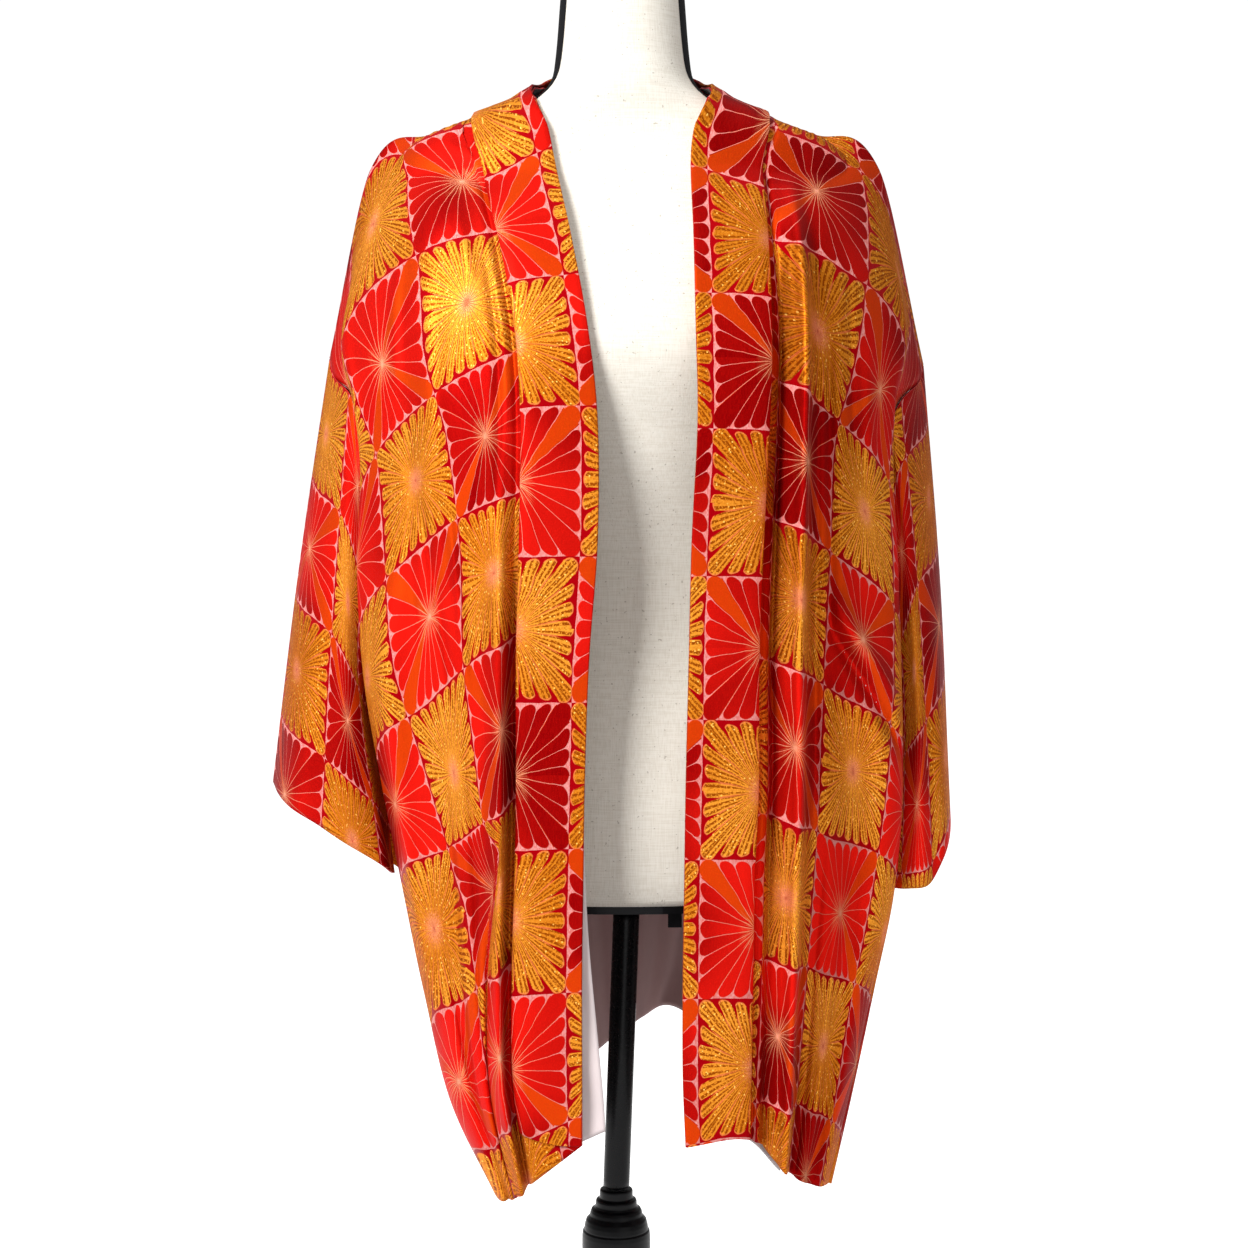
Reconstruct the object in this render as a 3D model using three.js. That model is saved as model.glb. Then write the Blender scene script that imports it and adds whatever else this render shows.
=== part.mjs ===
// A haori (hip-length kimono jacket) worn open on a limbless dress form and its stand.
// Millimetres, +Z up, the front faces -Y, +X is the viewer's right. The floor is z = 0.
//
// Every cloth piece is a wall through a grid of points. A grid comes from a short table: each row
// is one line across the piece, each named column is a place on that line, given as
// [out from the centre plane, y, z]. Folds are rows of a second table, added to the grid.
import * as THREE from 'three';

// ---- driving dimensions ----
const CLOTH_WALL = 2.0; // outer silk with its interlining
const COLLAR_WALL = 3.0; // folded collar band, two layers of silk
const LINING_WALL = 1.0;
const SEAM_GAP = 0.3; // clearance between neighbouring pieces
const EDGE_SHIFT = 1.6; // how far a sewn edge stops short of its neighbour's, half a wall and the gap
// a sleeve butts against the body's edge at the top of the armhole and laps outside it lower down
const SLEEVE_SEAM = { butt: 1.5, lap: 3.05, from: 0.05, to: 0.18 };
const GUSSET_SEAM = 1.7;
const COLLAR_ROLL = 8; // height of the band's roll behind the neck
const COLLAR_SEAT = 4.4; // collar mid-surface above the back panel's, half of both walls and the gap
const CENTRE_SEAM = 0.8; // from the centre plane to each half at the centre-back seam
const CLOTH_CLEARANCE = 1.3; // cloth mid-surface above the dress form, half a wall and a little air
const SHOULDER_ROUND = { from: 950, air: 1.6 };
const FORM_EXPONENT = 2.2; // roundness of the form's sections, 2 is an ellipse
const COVER_SEAM_Y = -25; // where the linen front of the form meets its black back
const FORM_BOTTOM = 494;
const NECK_TOP = 1186;
const POLE_RADIUS = 10;
const POLE_LEAN = THREE.MathUtils.degToRad(2.1); // the pole stands slightly askew in its clamp
const POLE_TOP = [3, 476]; // x, z
const HUB_TOP = 262;
const LEG_COUNT = 3;
const FOOT_REACH = 235;

const finish = (color, roughness, metalness = 0) => () =>
  new THREE.MeshStandardMaterial({ color, roughness, metalness });
const silkRed = finish(0xd8200f, 0.45);
const silkGold = finish(0xd8932a, 0.4, 0.3);
const liningPink = finish(0xf0dcdc, 0.6);
const linen = finish(0xe9e2d4, 0.9);
const blackCover = finish(0x15151a, 0.85);
const blackPlastic = finish(0x101012, 0.4);
const blackSteel = finish(0x0c0c0e, 0.35, 0.6);

const haori = new THREE.Group();
haori.name = 'haori_on_dress_form';

// ---- the dress form: half width, depth to the front and depth to the back at each height ----
const FORM_SECTIONS = [
  { z: NECK_TOP, half: 43, front: 43, back: 43 },
  { z: 1160, half: 45.5, front: 46, back: 46 },
  { z: 1108, half: 50, front: 49, back: 50 },
  { z: 1092, half: 54, front: 52, back: 54 },
  { z: 1080, half: 66, front: 52, back: 56 },
  { z: 1066, half: 92, front: 50, back: 60 },
  { z: 1052, half: 130, front: 50, back: 63 },
  { z: 1040, half: 156, front: 53, back: 67 },
  { z: 1022, half: 167, front: 60, back: 72 },
  { z: 990, half: 165, front: 74, back: 79 },
  { z: 940, half: 156, front: 99, back: 86 },
  { z: 890, half: 147, front: 113, back: 86 },
  { z: 830, half: 130, front: 101, back: 79 },
  { z: 760, half: 114, front: 84, back: 71 },
  { z: 700, half: 112, front: 80, back: 72 },
  { z: 620, half: 128, front: 89, back: 86 },
  { z: 560, half: 135, front: 94, back: 95 },
  { z: 510, half: 134, front: 93, back: 96 },
  { z: FORM_BOTTOM, half: 131, front: 90, back: 93 },
];

// Point on a form section. The angle is 0 on the +X side, 90 degrees at the back.
function formPoint(section, angle) {
  const cos = Math.cos(angle);
  const sin = Math.sin(angle);
  const depth = sin > 0 ? section.back : section.front;
  const power = 2 / FORM_EXPONENT;
  return new THREE.Vector3(
    section.half * Math.sign(cos) * Math.abs(cos) ** power,
    depth * Math.sign(sin) * Math.abs(sin) ** power,
    section.z,
  );
}

// ---- solids from grids and rings ----
function solidMesh(name, positions, indices, material) {
  const geometry = new THREE.BufferGeometry();
  geometry.setAttribute('position', new THREE.Float32BufferAttribute(positions, 3));
  geometry.setIndex(indices);
  geometry.computeVertexNormals();
  const mesh = new THREE.Mesh(geometry, material());
  mesh.name = name;
  return mesh;
}

// A stack of closed rings, counter-clockwise seen from above and listed from the top down,
// closed by a fan at each end.
function loftMesh(name, rings, material) {
  const count = rings[0].length;
  const positions = rings.flat().flatMap((p) => [p.x, p.y, p.z]);
  const indices = [];
  for (let r = 0; r + 1 < rings.length; r += 1) {
    for (let k = 0; k < count; k += 1) {
      const a = r * count + k;
      const b = r * count + ((k + 1) % count);
      indices.push(a, a + count, b, b, a + count, b + count);
    }
  }
  const fan = (ring, start, up) => {
    const centre = ring.reduce((sum, p) => sum.add(p), new THREE.Vector3()).divideScalar(count);
    const hub = positions.length / 3;
    positions.push(centre.x, centre.y, centre.z);
    for (let k = 0; k < count; k += 1) {
      const a = start + k;
      const b = start + ((k + 1) % count);
      indices.push(...(up ? [hub, a, b] : [hub, b, a]));
    }
  };
  fan(rings[0], 0, true);
  fan(rings.at(-1), (rings.length - 1) * count, false);
  return solidMesh(name, positions, indices, material);
}

// Unit normals of a grid of points, grid[row][column]. A closed grid wraps from column to column.
function gridNormals(grid, closed) {
  const rows = grid.length;
  const columns = grid[0].length;
  return grid.map((line, r) => line.map((_, c) => {
    const before = closed ? (c + columns - 1) % columns : Math.max(c - 1, 0);
    const after = closed ? (c + 1) % columns : Math.min(c + 1, columns - 1);
    const along = line[after].clone().sub(line[before]);
    const down = grid[Math.min(r + 1, rows - 1)][c].clone().sub(grid[Math.max(r - 1, 0)][c]);
    return along.cross(down).normalize();
  }));
}

// The grid moved along its own normals; a positive distance is away from the body.
function moved(grid, distance, closed = false) {
  const normals = gridNormals(grid, closed);
  return grid.map((line, r) => line.map((p, c) => p.clone().addScaledVector(normals[r][c], distance)));
}

// A wall of even thickness on both sides of a grid, with its four edges closed.
function wallMesh(name, grid, wall, material, closed = false) {
  const outer = moved(grid, wall / 2, closed);
  const inner = moved(grid, -wall / 2, closed);
  const rows = grid.length;
  const columns = grid[0].length;
  const positions = [...outer.flat(), ...inner.flat()].flatMap((p) => [p.x, p.y, p.z]);
  const indices = [];
  const at = (r, c, side) => side * rows * columns + r * columns + (c % columns);
  const quad = (a, b, c, d) => indices.push(a, b, c, a, c, d);
  const spans = closed ? columns : columns - 1;
  for (let r = 0; r + 1 < rows; r += 1) {
    for (let c = 0; c < spans; c += 1) {
      quad(at(r, c, 0), at(r, c + 1, 0), at(r + 1, c + 1, 0), at(r + 1, c, 0));
      quad(at(r, c, 1), at(r + 1, c, 1), at(r + 1, c + 1, 1), at(r, c + 1, 1));
    }
  }
  for (let c = 0; c < spans; c += 1) {
    quad(at(0, c, 0), at(0, c, 1), at(0, c + 1, 1), at(0, c + 1, 0));
    quad(at(rows - 1, c, 0), at(rows - 1, c + 1, 0), at(rows - 1, c + 1, 1), at(rows - 1, c, 1));
  }
  if (!closed) {
    for (let r = 0; r + 1 < rows; r += 1) {
      quad(at(r, 0, 0), at(r + 1, 0, 0), at(r + 1, 0, 1), at(r, 0, 1));
      quad(at(r, columns - 1, 0), at(r, columns - 1, 1), at(r + 1, columns - 1, 1), at(r + 1, columns - 1, 0));
    }
  }
  return solidMesh(name, positions, indices, material);
}

// ---- curves through table rows ----
// Smooth curve through values at places, by cubic spans with averaged slopes.
function throughPoints(places, values, place) {
  const last = places.length - 1;
  const slope = (k) => {
    const a = Math.max(k - 1, 0);
    const b = Math.min(k + 1, last);
    return (values[b] - values[a]) / (places[b] - places[a]);
  };
  let k = 0;
  while (k < last - 1 && place > places[k + 1]) k += 1;
  const span = places[k + 1] - places[k];
  const t = (place - places[k]) / span;
  const u = 1 - t;
  return values[k] * (1 + 2 * t) * u * u + slope(k) * span * t * u * u
    + values[k + 1] * (3 - 2 * t) * t * t - slope(k + 1) * span * t * t * u;
}

const evenly = (count) => Array.from({ length: count + 1 }, (_, k) => k / count);
const smoothStep = (t) => THREE.MathUtils.smoothstep(t, 0, 1);
const rise = (t, from, to) => smoothStep((t - from) / (to - from));

// A point on a panel: across the named stations (0 to 1 over the panel) and down the rows.
function panelPoint(panel, across, down) {
  const { stations, rows } = panel;
  const names = Object.keys(stations);
  const rowPlaces = evenly(rows.length - 1);
  const coordinates = [0, 1, 2].map((axis) => {
    const line = names.map((name) => throughPoints(rowPlaces, rows.map((row) => row[name][axis]), down));
    return throughPoints(Object.values(stations), line, across);
  });
  const point = new THREE.Vector3(...coordinates);
  for (const fold of panel.folds) {
    const centre = THREE.MathUtils.lerp(fold.top, fold.bottom, (down - fold.from) / (fold.to - fold.from));
    const reach = (across - centre) / fold.width;
    const fade = rise(down, fold.from, fold.from + fold.fade) * rise(down, fold.to, fold.to - fold.fade);
    const hump = Math.exp(-reach * reach) * fade;
    point.x += hump * fold.lean;
    point.y += hump * fold.lift * panel.facing;
  }
  return point;
}

// The grid of a panel on one side of the body. Points keep clear of the dress form. The columns of
// a piece on the left run outward and on the right inward, so that every normal points away.
function panelGrid(panel, side, acrossPlaces, downPlaces) {
  return downPlaces.map((down) => {
    const line = acrossPlaces.map((across) => {
      const point = clearOfForm(panelPoint(panel, across, down));
      point.x *= side;
      return point;
    });
    return side * panel.facing < 0 ? line.reverse() : line;
  });
}

// How far out a point lies on the form grown by some air: less than 1 is inside.
function formSize(point, air) {
  const z = point.z - air;
  const last = FORM_SECTIONS.length - 1;
  if (z > NECK_TOP || z < FORM_BOTTOM - 2 * air) return Infinity;
  const k = THREE.MathUtils.clamp(FORM_SECTIONS.findIndex((section) => section.z <= z), 1, last);
  const above = FORM_SECTIONS[k - 1];
  const below = FORM_SECTIONS[k];
  const t = THREE.MathUtils.clamp((above.z - z) / (above.z - below.z), 0, 1);
  const side = point.y > 0 ? 'back' : 'front';
  const half = THREE.MathUtils.lerp(above.half, below.half, t) + air;
  const depth = THREE.MathUtils.lerp(above[side], below[side], t) + air;
  return ((Math.abs(point.x) / half) ** FORM_EXPONENT + (Math.abs(point.y) / depth) ** FORM_EXPONENT)
    ** (1 / FORM_EXPONENT);
}

// Moves a point that is too close to the form straight away from its surface. The cloth bridges
// the round of the shoulders, so it keeps further off there.
function clearOfForm(point) {
  const bridging = rise(point.z, SHOULDER_ROUND.from, SHOULDER_ROUND.from + 40);
  const air = CLOTH_CLEARANCE + SHOULDER_ROUND.air * bridging;
  const probe = 0.5;
  for (let step = 0; step < 12; step += 1) {
    const size = formSize(point, air);
    if (size >= 1) return point;
    const slope = new THREE.Vector3(
      formSize(point.clone().setX(point.x + probe), air) - size,
      formSize(point.clone().setY(point.y + probe), air) - size,
      formSize(point.clone().setZ(point.z + probe), air) - size,
    ).divideScalar(probe);
    point.addScaledVector(slope, (1.002 - size) / slope.lengthSq());
  }
  return point;
}

// Moves a point that is too close to a sheet of points off along the sheet's nearest normal.
function clearOfSheet(point, sheet, normals, distance) {
  for (let step = 0; step < 3; step += 1) {
    const reaches = sheet.map((other) => other.distanceToSquared(point));
    const nearest = reaches.indexOf(Math.min(...reaches));
    const height = point.clone().sub(sheet[nearest]).dot(normals[nearest]);
    if (height < distance && reaches[nearest] < (4 * distance) ** 2) {
      point.addScaledVector(normals[nearest], distance - height);
    }
  }
  return point;
}

// ---- tables of the cloth ----
// Stations across a front: seam to the collar, free edge of the collar over it, chest, fold where
// the cloth turns back at the side, and the edge sewn to the sleeve and then to the side gusset.
const FRONT_STATIONS = { seam: 0, edge: 0.24, chest: 0.56, fold: 0.86, side: 1 };
const FRONT_LEFT = {
  facing: -1,
  stations: FRONT_STATIONS,
  rows: [
    { seam: [56, 10, 1092], edge: [103, 7, 1070], chest: [146, 4, 1056], fold: [187, 0, 1030], side: [218, -1, 891] },
    { seam: [50, -52, 1037], edge: [98, -58, 1014], chest: [146, -52, 1004], fold: [193, -22, 968], side: [212, -16, 876] },
    { seam: [36, -92, 971], edge: [85, -93, 962], chest: [144, -82, 940], fold: [203, -38, 905], side: [195, -42, 860] },
    { seam: [24, -116, 906], edge: [74, -113, 902], chest: [136, -98, 882], fold: [192, -60, 858], side: [185, -50, 830] },
    { seam: [17, -124, 840], edge: [70, -121, 838], chest: [132, -106, 826], fold: [187, -66, 806], side: [178, -51, 786] },
    { seam: [17, -128, 757], edge: [71, -125, 756], chest: [132, -110, 748], fold: [190, -68, 734], side: [174, -44, 726] },
    { seam: [23, -130, 674], edge: [73, -127, 673], chest: [132, -112, 666], fold: [186, -70, 656], side: [151, -14, 652] },
    { seam: [26, -132, 591], edge: [73, -129, 590], chest: [126, -114, 582], fold: [172, -71, 572], side: [147, -17, 568] },
    { seam: [27, -134, 528], edge: [74, -131, 526], chest: [119, -116, 517], fold: [159, -72, 506], side: [143, -21, 500] },
    { seam: [28, -136, 455], edge: [76, -133, 450], chest: [112, -117, 440], fold: [143, -74, 428], side: [130, -26, 422] },
    { seam: [28, -138, 388], edge: [75, -135, 377], chest: [101, -118, 362], fold: [124, -78, 350], side: [114, -31, 346] },
    { seam: [28, -140, 335], edge: [64, -132, 305], chest: [79, -114, 288], fold: [92, -84, 284], side: [100, -38, 296] },
  ],
  folds: [
    // the long fold that stands up beside the collar's edge
    { from: 0.4, to: 1.2, fade: 0.14, top: 0.31, bottom: 0.37, width: 0.038, lift: 13, lean: -2 },
    // soft fold down from the shoulder over the side
    { from: 0.42, to: 0.86, fade: 0.14, top: 0.7, bottom: 0.76, width: 0.05, lift: 7, lean: 2 },
    { from: 0.1, to: 0.5, fade: 0.16, top: 0.52, bottom: 0.6, width: 0.06, lift: 4, lean: 0 },
    { from: 0.6, to: 1.2, fade: 0.16, top: 0.54, bottom: 0.64, width: 0.05, lift: -6, lean: 0 },
  ],
};
const FRONT_RIGHT = {
  facing: -1,
  stations: FRONT_STATIONS,
  rows: [
    { seam: [56, 10, 1092], edge: [100, 7, 1072], chest: [146, 4, 1056], fold: [190, 0, 1031], side: [224, -1, 886] },
    { seam: [49, -52, 1037], edge: [100, -58, 1018], chest: [150, -50, 1004], fold: [198, -22, 968], side: [218, -16, 872] },
    { seam: [50, -92, 970], edge: [102, -92, 964], chest: [152, -80, 944], fold: [205, -40, 910], side: [200, -44, 856] },
    { seam: [51, -116, 903], edge: [103, -112, 900], chest: [150, -92, 884], fold: [196, -57, 864], side: [190, -48, 828] },
    { seam: [52, -125, 840], edge: [101, -121, 838], chest: [149, -96, 826], fold: [194, -63, 808], side: [185, -49, 784] },
    { seam: [48, -128, 757], edge: [97, -124, 756], chest: [149, -98, 748], fold: [198, -66, 736], side: [181, -43, 724] },
    { seam: [46, -130, 674], edge: [94, -126, 673], chest: [148, -98, 666], fold: [201, -68, 656], side: [158, -14, 650] },
    { seam: [44, -132, 591], edge: [94, -128, 590], chest: [147, -98, 582], fold: [202, -70, 572], side: [152, -17, 566] },
    { seam: [43, -134, 521], edge: [91, -130, 520], chest: [144, -99, 510], fold: [196, -71, 500], side: [150, -21, 494] },
    { seam: [42, -136, 451], edge: [90, -132, 450], chest: [138, -101, 440], fold: [182, -72, 430], side: [148, -26, 420] },
    { seam: [42, -138, 385], edge: [89, -134, 387], chest: [132, -104, 364], fold: [166, -75, 354], side: [144, -31, 344] },
    { seam: [44, -140, 334], edge: [88, -136, 338], chest: [124, -110, 302], fold: [151, -80, 290], side: [140, -38, 280] },
  ],
  folds: [
    // the deep pleat that drops from the collar at the shoulder, and the valleys on both sides
    { from: 0.06, to: 1.24, fade: 0.2, top: 0.36, bottom: 0.444, width: 0.05, lift: 23, lean: 3 },
    { from: 0.12, to: 1.24, fade: 0.2, top: 0.29, bottom: 0.338, width: 0.035, lift: -9, lean: 0 },
    // the swag that falls to the side seam, with the pocket under it
    { from: 0.46, to: 0.64, fade: 0.08, top: 0.56, bottom: 0.78, width: 0.07, lift: 7, lean: 0 },
    { from: 0.54, to: 0.8, fade: 0.1, top: 0.62, bottom: 0.68, width: 0.06, lift: -9, lean: 0 },
    { from: 0.68, to: 1.16, fade: 0.12, top: 0.74, bottom: 0.71, width: 0.05, lift: 6, lean: 0 },
  ],
};

// Stations across a back: centre-back seam, under the side of the neck, blade, fold, side edge.
const BACK_STATIONS = { centre: 0, neck: 0.26, blade: 0.56, fold: 0.84, side: 1 };
const BACK_FOLDS = [
  { from: 0.3, to: 1.24, fade: 0.2, top: 0.2, bottom: 0.15, width: 0.06, lift: 7, lean: 0 },
  { from: 0.36, to: 1.24, fade: 0.2, top: 0.46, bottom: 0.41, width: 0.06, lift: 10, lean: 0 },
  { from: 0.4, to: 1.22, fade: 0.18, top: 0.32, bottom: 0.28, width: 0.05, lift: -6, lean: 0 },
  { from: 0.3, to: 0.95, fade: 0.18, top: 0.66, bottom: 0.66, width: 0.06, lift: 7, lean: 0 },
];
const BACK_LEFT = {
  facing: 1,
  stations: BACK_STATIONS,
  rows: [
    { centre: [0, 76, 1076], neck: [57, 14, 1089], blade: [132, 8, 1058], fold: [187, 3, 1030], side: [218, 1, 891] },
    { centre: [0, 88, 1034], neck: [60, 72, 1032], blade: [132, 58, 1014], fold: [192, 24, 968], side: [212, 16, 874] },
    { centre: [0, 96, 970], neck: [66, 92, 966], blade: [134, 80, 946], fold: [202, 40, 905], side: [195, 42, 858] },
    { centre: [0, 100, 900], neck: [68, 98, 895], blade: [132, 90, 878], fold: [193, 62, 852], side: [185, 50, 828] },
    { centre: [0, 103, 830], neck: [70, 102, 825], blade: [131, 96, 815], fold: [188, 70, 798], side: [178, 52, 784] },
    { centre: [0, 106, 750], neck: [70, 106, 745], blade: [130, 101, 738], fold: [189, 75, 728], side: [174, 45, 724] },
    { centre: [0, 108, 670], neck: [70, 109, 665], blade: [128, 105, 658], fold: [184, 78, 650], side: [151, 14, 650] },
    { centre: [0, 110, 590], neck: [70, 112, 582], blade: [124, 108, 574], fold: [172, 80, 566], side: [147, 17, 566] },
    { centre: [0, 112, 516], neck: [68, 115, 504], blade: [118, 110, 494], fold: [160, 81, 484], side: [143, 21, 490] },
    { centre: [0, 114, 448], neck: [64, 117, 430], blade: [110, 110, 416], fold: [147, 80, 408], side: [130, 26, 412] },
    { centre: [0, 115, 396], neck: [56, 118, 362], blade: [98, 108, 344], fold: [132, 76, 338], side: [115, 31, 338] },
    { centre: [0, 116, 356], neck: [48, 118, 316], blade: [86, 104, 292], fold: [116, 70, 286], side: [101, 38, 286] },
  ],
  folds: BACK_FOLDS,
};
const BACK_RIGHT = {
  facing: 1,
  stations: BACK_STATIONS,
  rows: [
    { centre: [0, 76, 1076], neck: [57, 14, 1089], blade: [132, 8, 1058], fold: [190, 3, 1031], side: [224, 1, 886] },
    { centre: [0, 88, 1034], neck: [60, 72, 1032], blade: [134, 58, 1014], fold: [198, 24, 968], side: [218, 16, 870] },
    { centre: [0, 96, 970], neck: [66, 92, 966], blade: [136, 80, 946], fold: [205, 42, 908], side: [200, 44, 854] },
    { centre: [0, 100, 900], neck: [68, 98, 895], blade: [136, 90, 878], fold: [198, 60, 856], side: [190, 49, 826] },
    { centre: [0, 103, 830], neck: [70, 102, 825], blade: [136, 96, 815], fold: [195, 68, 800], side: [185, 51, 782] },
    { centre: [0, 106, 750], neck: [70, 106, 746], blade: [136, 101, 740], fold: [198, 74, 728], side: [181, 45, 722] },
    { centre: [0, 108, 672], neck: [70, 109, 668], blade: [136, 105, 660], fold: [200, 77, 650], side: [158, 14, 648] },
    { centre: [0, 110, 594], neck: [70, 112, 590], blade: [136, 108, 580], fold: [200, 79, 568], side: [152, 17, 564] },
    { centre: [0, 112, 520], neck: [69, 115, 520], blade: [132, 110, 502], fold: [192, 80, 490], side: [150, 21, 488] },
    { centre: [0, 114, 450], neck: [66, 117, 456], blade: [126, 110, 428], fold: [180, 78, 412], side: [148, 26, 410] },
    { centre: [0, 115, 398], neck: [58, 118, 408], blade: [118, 108, 362], fold: [168, 72, 336], side: [145, 31, 332] },
    { centre: [0, 116, 357], neck: [46, 118, 374], blade: [110, 104, 316], fold: [156, 62, 272], side: [141, 38, 262] },
  ],
  folds: BACK_FOLDS,
};

// Rows round the neck, from the centre back to the shoulder: the collar's inner line, and the
// place on the back panel over which its outer edge lies.
const COLLAR_NECK = [
  { inner: [0, 66, 1110], across: 0, down: 0.068 },
  { inner: [26, 61, 1109], across: 0.15, down: 0.07 },
  { inner: [46, 46, 1107], across: 0.28, down: 0.065 },
  { inner: [57, 28, 1105], across: 0.38, down: 0.04 },
];
const COLLAR_BOTTOM = { left: 0.952, right: 1 }; // how far down the front its outer corner reaches

// Stations round a sleeve, from its top fold round the front, the tucked inside and the back. Each
// starts at a place along the armhole edge of the body and runs through a middle to the cuff.
const SLEEVE_STATIONS = {
  left: [
    { place: 0, along: 0, middle: [242, 0, 735], cuff: [263, 0, 573] },
    { place: 0.09, along: 0.09, middle: [233, -30, 725], cuff: [249, -38, 563] },
    { place: 0.18, along: 0.18, middle: [208, -56, 705], cuff: [216, -62, 545] },
    { place: 0.27, along: 0.34, middle: [193, -55, 665], cuff: [176, -62, 520] },
    { place: 0.35, along: 0.45, middle: [182, -39, 625], cuff: [169, -44, 511] },
    { place: 0.43, along: 0.53, middle: [168, -16, 592], cuff: [166, -18, 510] },
    { place: 0.5, along: 0.545, middle: [166, 0, 586], cuff: [166, 0, 510] },
  ],
  right: [
    { place: 0, along: 0, middle: [238, 0, 720], cuff: [246, 0, 559] },
    { place: 0.09, along: 0.09, middle: [232, -28, 708], cuff: [241, -38, 538] },
    { place: 0.18, along: 0.18, middle: [217, -52, 690], cuff: [226, -60, 508] },
    { place: 0.27, along: 0.34, middle: [208, -52, 662], cuff: [208, -60, 502] },
    { place: 0.35, along: 0.45, middle: [193, -38, 620], cuff: [189, -44, 502] },
    { place: 0.43, along: 0.53, middle: [176, -16, 592], cuff: [178, -18, 502] },
    { place: 0.5, along: 0.545, middle: [174, 0, 586], cuff: [176, 0, 502] },
  ],
};
// The spare width of a sleeve is tucked in pleats on its inner side, between these places.
const SLEEVE_TUCKS = { from: 0.36, to: 0.64, count: 4, depth: 50, rise: 0.75 };
const ARMHOLE_EASE = 3;
const ARMHOLE_END = 0.545; // how far down the body the armhole reaches, and the side gusset starts
const GUSSET_START = 0.56;

// Strips of lining that hang behind the fronts, given as across and down ranges of the front panel,
// with how far the strip's first edge swings past the front edge, how far it hangs behind at its
// top and its bottom, and whether it follows the front's folds or hangs straight behind them.
const FRONT_LININGS = {
  left: { across: [0, 0.2], down: [0.6, 0.985], swing: -15, top: 1.85, bottom: 5, folded: true },
  right: { across: [0.2, 0.5], down: [0.8, 1.0], swing: 0, top: 8.8, bottom: 8.8, folded: false },
};
const LINING_COLUMNS = 6;
const BACK_LINING = { across: 0.5, down: [0.4, 0.985] };

// ---- the dress form and its stand ----
function addForm() {
  const arc = (section, from, to, steps) =>
    evenly(steps).map((t) => formPoint(section, THREE.MathUtils.lerp(from, to, t)));
  const seamAngle = (section, y) => Math.asin((Math.abs(y) / section.front) ** (FORM_EXPONENT / 2));
  const frontRings = FORM_SECTIONS.map((section) => {
    const seam = seamAngle(section, COVER_SEAM_Y);
    return arc(section, -Math.PI + seam, -seam, 12);
  });
  const backRings = FORM_SECTIONS.map((section) => {
    const seam = seamAngle(section, COVER_SEAM_Y + SEAM_GAP);
    return [...arc(section, -seam, 0, 2).slice(0, -1), ...arc(section, 0, Math.PI, 14),
      ...arc(section, Math.PI, Math.PI + seam, 2).slice(1)];
  });
  haori.add(loftMesh('form_front', frontRings, linen));
  haori.add(loftMesh('form_back', backRings, blackCover));
}

function lathe(name, profile, sides, material) {
  const geometry = new THREE.LatheGeometry(profile.map(([r, z]) => new THREE.Vector2(r, z)), sides);
  geometry.rotateX(Math.PI / 2);
  const mesh = new THREE.Mesh(geometry, material());
  mesh.name = name;
  return mesh;
}

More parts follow.
